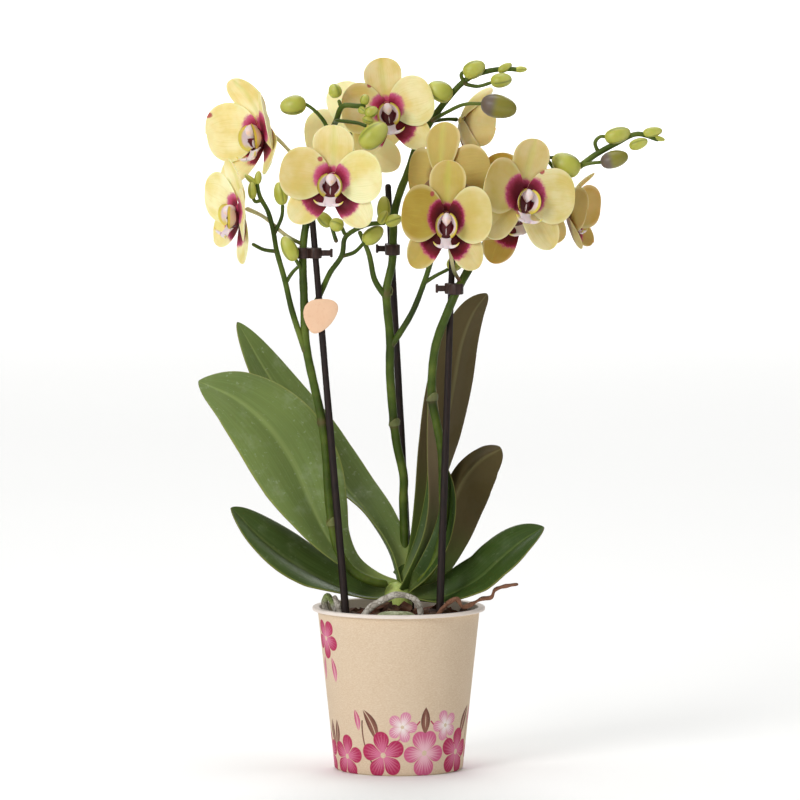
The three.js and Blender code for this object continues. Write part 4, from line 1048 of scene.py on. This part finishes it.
def make_crown():
    """The pale stem, faintly ridged, with streaks along Z."""
    paint = Finish("pale_crown")
    streak = paint.noise(160, 4, 0.6, paint.stretched(6, 6, 0.6))
    paint.tint = paint.ramp(streak, (0.3, "a6b95a"), (0.6, "bccb6e"), (0.8, "d0d890"))
    finish = paint.done(0.5, streak, (0.2, 0.3), glow=0.08)
    points, faces = lathe(rounded(CROWN_PROFILE, 2.5, 6), CROWN_SIDES)
    ridge = 1 + 0.01 * np.cos(5 * full_turn(CROWN_SIDES)) * smooth_step(62, 80, points[..., 2])
    points[..., :2] = points[..., :2] * ridge[..., None] + CROWN_CENTRE
    Shape().add(points, faces).replace("crown", "_stem", "crown", finish)


# ---- canes, clips and tag

def dark_finish(name, low, high, rough, scale):
    """Dark stained cane or dark moulded plastic, with grain along Z."""
    paint = Finish(name)
    grain = paint.noise(scale, 5, 0.6, paint.stretched(5, 5, 0.5))
    paint.tint = paint.blend(grain.step(0.3, 0.7), low, high)
    return paint.done(grain.step(0, 1, rough, rough + 0.15), grain, (0.3, 0.15), 0.3)


def cane_at(side, z):
    """The middle of a cane at a height."""
    foot, top = (np.array(CANES[side][end], float) for end in ("foot", "top"))
    return foot + (top - foot) * (z - foot[2]) / (top[2] - foot[2])


CANE_SIDES = 24


def make_canes(tree):
    finish = dark_finish("stained_cane", "120b09", "2b1c18", 0.55, 260)
    for index, (side, cane) in enumerate(CANES.items()):
        ends = [cane_at(side, CANE_FOOT), cane_at(side, 150), cane["top"]]
        line, girth, _ = chain(ends, lambda t: mix(*CANE_RADIUS, t), index + 20, 0.05, 2.5)
        name = "cane_" + side
        settle(sweep(name + "_stick", [(line, girth, {})], tree, finish, CANE_SIDES), name, "cane")


# Each clip: its height, where its stem is there, and the reach of its tab to the right.
CLIPS = {
    "left": {"height": 270, "stem": (-49.6, -9), "tab": 5},
    "middle": {"height": 271, "stem": (-3.2, 1.4), "tab": -4},
    "right": {"height": 252, "stem": (29.6, -19.2), "tab": -4},
}
CLIP_HEIGHT = 5.6
CLIP_WALL = 1.5


def hoop(centre, bore, wall, height, sides=48):
    """A band with eased edges round a vertical bore."""
    half, radius = height / 2, bore + wall
    lower = [(bore, -half + 0.2), (bore + 0.2, -half), (radius - 0.5, -half), (radius - 0.15, -half + 0.15),
             (radius, -half + 0.5)]
    points, faces = lathe(lower + [(r, -z) for r, z in lower[::-1]], sides)
    last = len(points[0]) * (len(points) - 1)
    faces += [[last + k, last + (k + 1) % sides, (k + 1) % sides, k] for k in range(sides)]
    return points + np.array(centre), faces


def bar(centre, along, size):
    """A bar with rounded edges, its length along a direction in plan."""
    work = bmesh.new()
    bmesh.ops.create_cube(work, size=1)
    bmesh.ops.scale(work, vec=size, verts=work.verts)
    bmesh.ops.bevel(work, geom=work.edges[:], offset=0.4, segments=3, affect="EDGES", profile=0.5)
    turn = Matrix.Rotation(math.atan2(along[1], along[0]), 4, "Z")
    bmesh.ops.transform(work, matrix=Matrix.Translation(centre) @ turn, verts=work.verts)
    work.verts.index_update()
    points = [tuple(vertex.co) for vertex in work.verts]
    faces = [[vertex.index for vertex in face.verts] for face in work.faces]
    work.free()
    return points, faces


def make_clips():
    """Each clip: a band round the cane, a band round the stem, a web and a ridged thumb tab."""
    finish = dark_finish("clip_plastic", "2a1b18", "45302a", 0.38, 140)
    ahead = np.array([1, 0, 0])
    for side, clip in CLIPS.items():
        cane = cane_at(side, clip["height"])
        stem = np.array([*clip["stem"], cane[2]])
        span, tab = stem - cane, clip["tab"]
        way = math.copysign(1, tab)
        start = way * (CANE_RADIUS[1] + CLIP_WALL)
        shape = Shape()
        shape.add(*hoop(cane, CANE_RADIUS[1] + GAP, CLIP_WALL, CLIP_HEIGHT))
        shape.add(*hoop(stem, STEM_RADIUS + GAP, CLIP_WALL, CLIP_HEIGHT))
        for centre, along, size in (
                (cane + 0.5 * span, span, (max(np.linalg.norm(span) - 5, 1.5), 3, CLIP_HEIGHT * 0.8)),
                (cane + (start + tab / 2) * ahead, ahead, (abs(tab) + 2, 1.6, CLIP_HEIGHT * 0.55)),
                (cane + (start + tab + way * 0.3) * ahead, ahead, (1.4, 2.2, CLIP_HEIGHT * 0.8))):
            shape.add(*bar(centre, along, size))
        shape.replace("clip_" + side, "_bands", "clip", finish, 40)


TAG = {"height": 237.6, "width": 18.6, "tall": 18, "thickness": 0.9, "gap": 0.4, "sleeve": 6}
# Bezier corners and handles of the pebble outline, in half widths and half heights.
PEBBLE = [(-0.72, -0.62), (-1.12, 0.1), (-1.05, 0.92), (-0.1, 0.99), (0.8, 1.06), (1.12, 0.72),
          (0.94, 0.2), (0.7, -0.5), (0.1, -0.98), (-0.3, -1.0), (-0.5, -1.0), (-0.6, -0.85),
          (-0.72, -0.62)]


def tag_finish():
    paint = Finish("peach_card")
    fibre = paint.noise(700, 4, 0.6)
    paint.tint = paint.blend(paint.noise(90, 2), "efc19c", "f6d2b2")
    paint.lay(fibre.step(0.5, 0.8, 0, 0.4), "dfa67c")
    return paint.done(0.55, fibre, (0.25, 0.08), 0.4)


def make_tag():
    """A bare pebble-shaped plate in front of the left cane, with a sleeve round the cane."""
    x, y, z = cane_at("left", TAG["height"])
    given = np.array(PEBBLE) * (TAG["width"] / 2, TAG["tall"] / 2)
    t = np.linspace(0, 1, 24, endpoint=False)[:, None]
    rim = np.vstack([(1 - t) ** 3 * a + 3 * t * (1 - t) ** 2 * b + 3 * t ** 2 * (1 - t) * c + t ** 3 * d
                     for a, b, c, d in (given[k:k + 4] for k in range(0, len(given) - 1, 3))])
    middle, depth, bore = rim.mean(axis=0), TAG["thickness"], CANE_RADIUS[0] + GAP
    layers = [(0, 0), (0.5, 0), (0.96, 0), (0.99, 0.12), (1, 0.3)]
    layers += [(share, depth - back) for share, back in layers[::-1]]
    points = []
    for share, back in layers:
        across, up = (middle + (rim - middle) * share).T
        ahead = np.full(len(rim), y - bore - depth - TAG["gap"] + back)
        points.append(np.stack([x + across, ahead, z + up], axis=-1))
    shape = Shape().add(points, grid_faces(len(layers) - 1, len(rim), wrap=True))
    shape.add(*hoop((x, y, z), bore, 1, TAG["sleeve"]))
    shape.replace("tag", "_pebble", "tag", tag_finish(), 40)


# ---- flower stems and buds

STEM_SIDES = 14
# Heights of the joints on each main stem, where a small sheathing bract clasps it.
JOINTS = {"left": (129.6, 182.3), "middle": (180.3, 248.6), "right": (194.4,)}
# Kinds of branch: radii at the root and the end, seed and size of the unevenness, spacing of
# the rings, and strength and reach of the plum tint at the root.
BRANCHES = [("twigs", (1.2 * TWIG_RADIUS, 0.8 * TWIG_RADIUS), 50, 0.04, 0.9, 0.3, 0.06),
            ("stalks", (1.1 * PEDICEL_RADIUS, 0.9 * PEDICEL_RADIUS), 60, 0.03, 0.5, 0.5, 0.2)]
# Blooms with a cream or a plum stalk, and the olive buds by their number on the spike.
CREAM_STALKS = "abf"
PLUM_STALKS = "fk"
OLIVE_BUDS = {"left": (), "middle": (3,), "right": (2,)}


def stem_finish():
    """Fresh green with plum-brown flecks and joints, and cream where the mark says so."""
    paint = Finish("orchid_stem")
    cloud = paint.cloud = paint.noise(55, 4)
    paint.tint = paint.ramp(cloud, (0.3, "29380a"), (0.5, "435616"), (0.72, "67762d"))
    paint.lay(paint.mark("cream"), "cfc28f", "ebe3b8")
    paint.lay(paint.noise(800, 3, 0.6).step(0.55, 0.75, 0, 0.35), "5a3a2a")
    paint.lay(paint.mark("plum"), "5a3038", "8a5a52")
    return paint.done(0.5, cloud, (0.2, 0.3), 0.22, glow=0.1)


def at_height(line, z):
    """Index of the point of a rising line that is nearest to a height."""
    return int(np.argmin(np.abs(line[:, 2] - z) + 0.02 * np.arange(len(line))))


def bract(line, index, turn):
    """A pointed scale that wraps half round a stem and stands off at its tip."""
    radius, length = STEM_RADIUS * 1.1, 4.6
    up = unit(line[min(index + 3, len(line) - 1)] - line[max(index - 3, 0)])
    side = unit(np.cross(up, [math.cos(turn), math.sin(turn), 0]))
    out = np.cross(side, up)

    def surface(u, v):
        wrap = v * mix(2.2, 0.25, u ** 0.8)
        girth = (radius + 0.5) * mix(1, 1.25, u)
        return (line[index] + up * (u * length - 0.2 * length)[..., None]
                + out * (girth * np.cos(wrap) + 1.4 * u ** 2)[..., None]
                + side * (girth * np.sin(wrap))[..., None])
    return blade(surface, 12, 12, thickness=0.5, rim=0.3)[:2]


def bloom_frame(bloom):
    """Centre and matrix of a bloom: +Z is its face and +Y its upper sepal."""
    centre, heading, tilt, roll, _, size, wide = bloom
    turn = Matrix.Rotation(math.radians(heading), 3, "Z")
    raised = turn @ Matrix.Rotation(math.radians(90 - tilt), 3, "X")
    spun = np.array(raised @ Matrix.Rotation(math.radians(roll), 3, "Z"))
    return np.array(centre, float), size * spun @ np.diag([wide, 1, 1])


def stem_chains(side, spike):
    """The chains of one spike: main stem, side branches, bud stalks and bloom stalks."""
    line, girth, _ = chain(spike["main"], lambda t: STEM_RADIUS * mix(1.1, 0.6, t ** 3), 40, 0.05, 0.8)
    plum = np.zeros(len(line))
    for z in JOINTS[side]:
        near = np.exp(-((np.arange(len(line)) - at_height(line, z)) / 2.5) ** 2)
        girth = girth * (1 + 0.22 * near)
        plum = np.maximum(plum, 0.35 * near)
    chains = [(line, girth, {"plum": plum})]
    for kind, radii, seed, rough, spacing, plum, reach in BRANCHES:
        for index, points in enumerate(spike[kind]):
            line, girth, share = chain(points, lambda t: mix(*radii, t), seed + index, rough, spacing)
            chains.append((line, girth, {"plum": plum * smooth_step(reach, 0.0, share)}))
    for letter, route in spike["blooms"].items():
        centre, matrix = bloom_frame(BLOOMS[letter])
        route = [*route, centre + matrix @ (0, 0, -(HUB_RADIUS + 0.6))]
        line, girth, share = chain(route, lambda t: PEDICEL_RADIUS * mix(1, 1.25, smooth_step(0.7, 1, t)),
                                   80 + ord(letter), 0.03, 0.5)
        cream = 0.85 * (letter in CREAM_STALKS) * smooth_step(0.1, 0.4, share)
        plum = smooth_step(0.25, 0.0, share) * (0.9 if letter in PLUM_STALKS else 0.3)
        chains.append((line, girth, {"cream": cream, "plum": plum}))
    return chains


def bud_finish():
    """Lime green, paler at the nose, darker along the seams; olive with a plum base if marked."""
    paint = Finish("orchid_bud")
    cloud, along = paint.noise(120, 3), paint.mark("along")
    paint.tint = paint.blend(cloud, "9a9e30", "c8c85a")
    paint.lay(along.step(0.45, 1.0, 0, 0.5), "cfd07c")
    paint.lay(paint.mark("seam") * 0.75, "56641c")
    paint.lay(paint.mark("olive"), paint.blend(along.step(0.25, 0.5), "6b5c50", "86802e"))
    return paint.done(0.42, cloud, (0.15, 0.3), glow=0.15)


def bud(base, tip, radius, turn):
    """A bud fuller near its stalk, with three seams that run to its nose."""
    rings, sides = 22, 36
    start, end = np.array([base, tip], float)
    axis = unit(end - start)
    side = unit(np.cross(axis, [0.3, 0.2, 0.93]))
    angle = np.pi * np.linspace(0, 1, rings + 1)[:, None]
    share = 0.5 - 0.5 * np.cos(angle)
    round_turn = full_turn(sides)
    off = np.abs((round_turn * 3 / (2 * np.pi) + turn) % 1 - 0.5) * 2
    seam = np.exp(-((1 - off) / 0.13) ** 2) * smooth_step(0.02, 0.25, share) * smooth_step(1.0, 0.93, share)
    girth = radius * np.sin(angle) ** 0.9 * (1.1 - 0.2 * share)
    girth = (girth * (1 - 0.06 * seam + 0.03 * np.cos(3 * round_turn + 6.28 * turn)))[..., None]
    points = (start + (end - start) * share[..., None] + girth * np.cos(round_turn)[:, None] * side
              + girth * np.sin(round_turn)[:, None] * np.cross(axis, side))
    return points, grid_faces(rings, sides, wrap=True), {"along": np.repeat(share, sides), "seam": seam}


def make_spikes(tree):
    green, young = stem_finish(), bud_finish()
    for side, spike in SPIKES.items():
        buds, bracts, line = Shape(), Shape(), smooth_route(spike["main"])[0]
        for index, form in enumerate(spike["buds"]):
            points, faces, marks = bud(*form, 0.37 * index)
            buds.add(points, faces, olive=float(index in OLIVE_BUDS[side]), **marks)
        for index, z in enumerate(JOINTS[side]):
            bracts.add(*bract(line, at_height(line, z), -1.2 + 2.4 * index), cream=0.15)
        name = "spike_" + side
        settle(sweep(name + "_stems", stem_chains(side, spike), tree, green, STEM_SIDES), name, "stem")
        buds.replace(name, "_buds", "stem", young)
        bracts.replace(name, "_bracts", "stem", green, 60)


# ---- blooms

# How ochre each bloom is, from its age and from painted shade, how large its wine stain is on the
# petals and on the side sepals as a share of the usual, and where its one dark spot is, in its own frame.
AGE_AND_SHADE = {"a": 0, "b": 0, "c": 0.08, "d": 0.04, "e": 0, "f": 0.5, "g": 0.95, "h": 0.5, "i": 0.3, "j": 0.8,
       "k": 0.65}
STAIN = {"a": (1.05, 0.75), "b": (1, 0.9), "f": (1.15, 1), "g": (1.2, 1), "i": (1.25, 0.4)}
SPOTS = {"a": (-20.8, 11.2), "c": (-6.6, 9.6), "d": (-8.2, 13.2), "f": (-8.8, 11.3), "i": (7.8, 12.8),
         "g": (-9.4, -7.8)}
FAR_AWAY = 99                    # for a tepal or a bloom without a spot
FRONT_HEADING = 30               # degrees within which a bloom faces the viewer
# Millimetres of the waves of a tepal's margins and across it, and of the groove along it.
MARGIN_WAVE, CROSS_WAVE, GROOVE = 0.45, 0.35, 0.35
# The kinds of tepal: length in bloom radii, half width, outline, lift at the root, degrees by
# which it cups less than the bloom, fold of its margins, and reach of its wine stain.
UPPER_SEPAL = {"length": 1.055, "half": 10.8, "form": (0.64, 0.25, 0.8, 0.5), "lift": -1, "relax": 0,
               "fold": 0.6, "stain": 6}
SIDE_SEPAL = {"length": 1.15, "half": 8.8, "form": (0.62, 0.3, 0.6, 0.55), "lift": -1, "relax": 4,
              "fold": 0.9, "stain": 20}
PETAL = {"length": 1.02, "half": 13.8, "form": (0.54, 0.2, 0.7, 0.4), "lift": 1.4, "relax": 0,
         "fold": -0.5, "stain": 9.2}
# Each tepal: kind, direction, which of its sides faces the lip, and how much painted shade darkens it to ochre on a
# bloom that faces the viewer.
TEPALS = [(UPPER_SEPAL, 90, 0, 0.35), (SIDE_SEPAL, 229, 1, 0.3), (SIDE_SEPAL, 311, -1, 0), (PETAL, 7, 0, 0),
          (PETAL, 173, 0, 0.6)]


def tepal_finish():
    """Lemon to ochre by age and by painted shade, with a wine-red stain round the middle, fine veins, a single spot,
    and backs painted paler on fresh blooms as if lit through.
    """
    paint = Finish("lemon_tepal")
    across, along, age, under = paint.marks("across along age under")
    cloud = paint.noise(70, 3)
    veins = paint.noise(1.0, 2, 0.5, paint.join(across * 26, along * 2.2, paint.mark("seed")))
    paint.tint = paint.blend(cloud.step(0.3, 0.7), "ebd985", "fcf1bf")
    # Ochre by age and by painted shade: deeper on the blooms and the tepals that stand in shade.
    paint.lay(paint.mark("ochre"), paint.blend(cloud, "a0862a", "c4ae50"))
    paint.lay(veins.step(0.45, 0.75, 0, 0.22), "cdbf52")
    paint.lay(abs(across).step(0.35, 0.0) * paint.mark("upper") * 0.35, "c3cd5c")
    # Painted light: the backs of fresher blooms are painted paler, as if lit through the petal.
    paint.lay(under * age.step(0, 0.6, 0.7, 0.1), "f8f1c4")
    paint.lay(abs(across).step(0.8, 1.0, 0, 0.3), "fdf8d2")
    fuzz = (paint.noise(520, 3, 0.7) - 0.5) * 3.2
    stain = paint.mark("stain") + fuzz
    depth = stain.step(-1.0, 6.0)
    crimson = paint.ramp(depth, (0.0, "d07096"), (0.3, "c04c74"), (0.7, "a22a4c"), (1.0, "7a1830"))
    claret = paint.ramp(depth, (0.0, "c4507c"), (0.15, "93274a"), (0.35, "701522"), (1.0, "460911"))
    dusky = age.step(0.05, 0.5).math("MAXIMUM", paint.mark("lateral") * 0.75)
    paint.lay(stain.step(-1.6, 0.5) * (1 - under), paint.blend(dusky, crimson, claret))
    paint.lay(stain.step(-2.5, 3.5) * age.step(0.4, 0.6, 0, 0.8) * under, "66322f")
    paint.lay((paint.mark("spot") + fuzz * 0.15).step(1.7, 1.0) * 0.9, "a8434a")
    return paint.done(0.55, veins + cloud * 0.5, (0.25, 0.3), 0.2, glow=0.25, depth=3, sheen=0.06)


def tepal_surface(tepal, direction, cup, random):
    """The middle of one tepal in the bloom's frame, with small waves of its own."""
    angle = math.radians(direction)
    radial = np.array([math.cos(angle), math.sin(angle), 0])
    lateral = np.array([-radial[1], radial[0], 0])
    inset = 1.6
    shift, rate = random.uniform(0, 6.28, 3), random.uniform(4, 8)

    def surface(u, v):
        turn = np.radians(mix(ROOT_CUP, cup - tepal["relax"], u))
        run = (tepal["length"] * BLOOM_RADIUS - inset) * u
        reach = inset + run * np.cos(turn)
        side = tepal["half"] * outline(u, *tepal["form"]) * v
        rise = tepal["lift"] + run * np.sin(turn) + (np.hypot(reach, side) - reach) * np.tan(turn)
        rise += tepal["fold"] * (np.abs(side) / tepal["half"]) ** 1.5
        rise += MARGIN_WAVE * np.sin(rate * u + shift[0]) * np.abs(v) ** 3 * np.sign(v + 1e-9)
        rise += CROSS_WAVE * np.sin(2.5 * v + shift[1]) * np.sin(np.pi * u)
        rise -= GROOVE * np.exp(-(side / 0.8) ** 2) * smooth_step(0.05, 0.3, u) * smooth_step(1, 0.8, u)
        return reach[..., None] * radial + side[..., None] * lateral + rise[..., None] * [0, 0, 1]
    return surface


def make_tepals(letter, bloom, finish):
    """The five tepals and the hub behind them as one piece."""
    random = np.random.default_rng(ord(letter))
    centre, matrix = bloom_frame(bloom)
    place = lambda points: points @ matrix.T + centre
    age, (petal_stain, sepal_stain) = AGE_AND_SHADE[letter], STAIN.get(letter, (1, 1))
    heading, cup = bloom[1], bloom[4]
    # Blooms that face the viewer take painted shade on the tepals that turn away from the light.
    faces_front = abs(heading) < FRONT_HEADING
    shape = Shape()
    for tepal, direction, inner, shade in TEPALS:
        surface = tepal_surface(tepal, direction, cup, random)
        points, faces, marks = blade(surface, 40, 22, TEPAL_THICKNESS, rim=0.4)
        x, y, _ = points.T
        spot_x, spot_y = SPOTS.get(letter, (FAR_AWAY, FAR_AWAY))
        across = marks["across"]
        reach = tepal["stain"] * (sepal_stain if tepal is SIDE_SEPAL else petal_stain)
        shape.add(place(points), faces, **marks, age=age, seed=random.uniform(0, 50),
                  ochre=age + faces_front * shade * (0.35 + age), lateral=float(tepal is SIDE_SEPAL),
                  stain=reach - np.hypot(x, y) - 1.5 * across ** 2 + 2.2 * across * inner,
                  spot=np.hypot(x - spot_x, y - spot_y) if tepal is PETAL else FAR_AWAY,
                  upper=float(tepal is UPPER_SEPAL))
    arc = [(math.sin(a), -math.cos(a)) for a in np.linspace(0.2, 2.94, 12)]
    hub, faces = lathe([(0, -1), *arc, (0, 1)], 28)
    hub = hub.reshape(-1, 3) * (1.3 * HUB_RADIUS, 1.3 * HUB_RADIUS, HUB_RADIUS)
    shape.add(place(hub), faces, age=age, ochre=age, spot=FAR_AWAY, stain=np.where(hub[:, 2] > 0.3, 3, -5))
    shape.replace("bloom_" + letter + "_tepals", "_skin", "tepal", finish, 70)


def lip_finish():
    """White, yellow and wine by the marks, with fine wine speckles where they meet."""
    paint = Finish("orchid_lip")
    cloud = paint.cloud = paint.noise(300, 3)
    paint.tint = paint.blend(cloud, "f1e6e6", "e3ccd4")
    paint.lay(paint.mark("peach"), "efc8a4")
    paint.lay(paint.mark("yellow"), "d8c233", "efe070")
    fuzz = (paint.noise(900, 2) - 0.5) * 0.9
    paint.lay((paint.mark("wine") + fuzz).step(0.35, 0.65), "3a060c", "6d1020")
    return paint.done(0.42, cloud, (0.2, 0.2), 0.4, glow=0.2)


# The lip in the bloom's frame. Its solid parts: centre and radii.
COLUMN = ((0, -0.2, 4.4), (2.7, 2.9, 3.4))
THROAT = ((0, -4.6, 1.6), (4.4, 4.9, 1.8))
CALLUS = ((0, -6.4, 4.2), (0.28, 1.9, 0.8))
HORN = [(2.2, -13.3, 7.6), (4.6, -13.1, 8.4), (6.6, -12.2, 9.3), (7.7, -11.0, 9.6)]
LOBE_CENTRE = -3.6               # height of the middle of the ring that the side lobes make
LOBE_RADII = (6.4, 6.6)


def ball(centre, radii, rings=14, sides=24):
    angle = np.pi * np.linspace(0, 1, rings + 1)[1:-1]
    points, faces = lathe([(0, -1), *zip(np.sin(angle), -np.cos(angle)), (0, 1)], sides)
    return points * radii + np.array(centre), faces


def lobe_surface(side):
    """One of the side lobes, which curl up and round like the wall of a cup."""
    def surface(u, v):
        turn = np.radians(mix(-62, 72, 0.5 * v + 0.5))
        share = mix(0.62, 1.0, u ** 0.8)
        height = 2.6 + 5.4 * u * (1 - 0.45 * np.abs(v) ** 2.5)
        return np.stack([side * LOBE_RADII[0] * share * np.cos(turn),
                         LOBE_CENTRE + LOBE_RADII[1] * share * np.sin(turn), height], axis=-1)
    return surface


def tongue_surface(u, v):
    """The white tongue: a two-cornered crest above, a waist, and a round end."""
    y = mix(-9.9, -14.3, u) + 1.1 * v ** 2 * (1 - u) ** 1.5 + 0.5 * v ** 2 * u
    half = 3.9 * (1 - 0.28 * np.sin(np.pi * np.clip(u / 0.8, 0, 1))) * np.sqrt(np.clip(1.02 - u ** 5, 0, 1))
    return np.stack([half * v, y, 4.6 + 3.8 * u - 1.1 * v ** 2], axis=-1)


def horn(side, sides=12):
    """One of the curled feelers at the tongue's end, with the shares of its length."""
    share = np.linspace(0, 1, 16)
    centre = along_route(smooth_route(np.array(HORN) * (side, 1, 1)), share)
    tangent = unit(np.gradient(centre, axis=0))
    normal = unit(np.cross(tangent[:1], [0.31, 0.87, 0.38]))
    for ahead in tangent[1:]:
        normal = np.vstack([normal, unit(normal[-1] - ahead * normal[-1].dot(ahead))])
    turn = full_turn(sides)[:, None]
    ring = np.cos(turn) * normal[:, None] + np.sin(turn) * np.cross(tangent, normal)[:, None]
    girth = 0.85 * (1 - share) ** 0.7 + 0.12
    faces = grid_faces(len(share) - 1, sides, wrap=True)
    faces += [list(range(sides))[::-1], [(len(share) - 1) * sides + k for k in range(sides)]]
    return centre[:, None] + girth[:, None, None] * ring, faces, np.repeat(share, sides)


def make_lip(letter, bloom, finish):
    """The column, throat, callus, side lobes, horns and tongue as one piece."""
    centre, matrix = bloom_frame(bloom)
    shape = Shape()

    def add(points, faces, **marks):
        shape.add((np.reshape(points, (-1, 3)) + (0, 0, LIP_LIFT)) @ matrix.T + centre, faces, **marks)

    points, faces = ball(*COLUMN)
    x, y, _ = np.moveaxis(points, -1, 0)
    y -= 0.8 * np.exp(-(x / 0.9) ** 2) * smooth_step(-1.5, -3, y)
    add(points, faces, peach=0.8 * np.exp(-((x - 1.0) ** 2 + (y + 1.4) ** 2) / 1.6))
    add(*ball(*THROAT), wine=1.0)
    add(*ball(*CALLUS, 8, 12), wine=0.35)
    for side in (1, -1):
        points, faces, marks = blade(lobe_surface(side), 14, 22, thickness=0.8, rim=0.5)
        u, v, under = (marks[title] for title in ("along", "across", "under"))
        under = under if side > 0 else 1 - under
        margin = 0.9 * smooth_step(0.25, 0.9, -v) * smooth_step(0.3, 0.5, u)
        yellow = np.maximum(smooth_step(0.66, 0.8, u), margin)
        wine = smooth_step(0.42, 0.1, u) * smooth_step(0.35, -0.2, v)
        add(points, faces, yellow=np.maximum(yellow, 0.3 * under), wine=wine * (1 - under))
        points, faces, share = horn(side)
        add(points, faces, yellow=smooth_step(0.35, 0.9, share))
    add(*blade(tongue_surface, 16, 20, thickness=1, rim=0.6)[:2])
    shape.replace("bloom_" + letter + "_lip", "_parts", "lip", finish, 60)


# ---- the whole plant

def main():
    make_camera()
    make_floor()
    make_lights()
    stems = sprout_tree()
    make_pot()
    make_bark()
    make_roots(stems)
    make_crown()
    make_leaves()
    make_canes(stems)
    make_clips()
    make_tag()
    make_spikes(stems)
    petals, lips = tepal_finish(), lip_finish()
    for letter, bloom in BLOOMS.items():
        make_tepals(letter, bloom, petals)
        make_lip(letter, bloom, lips)
    with open("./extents.json", "w") as report:
        json.dump({"cad": [list(corner) for corner in cad_box],
                   "visual": [list(corner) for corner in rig.bounds()]}, report)


main()
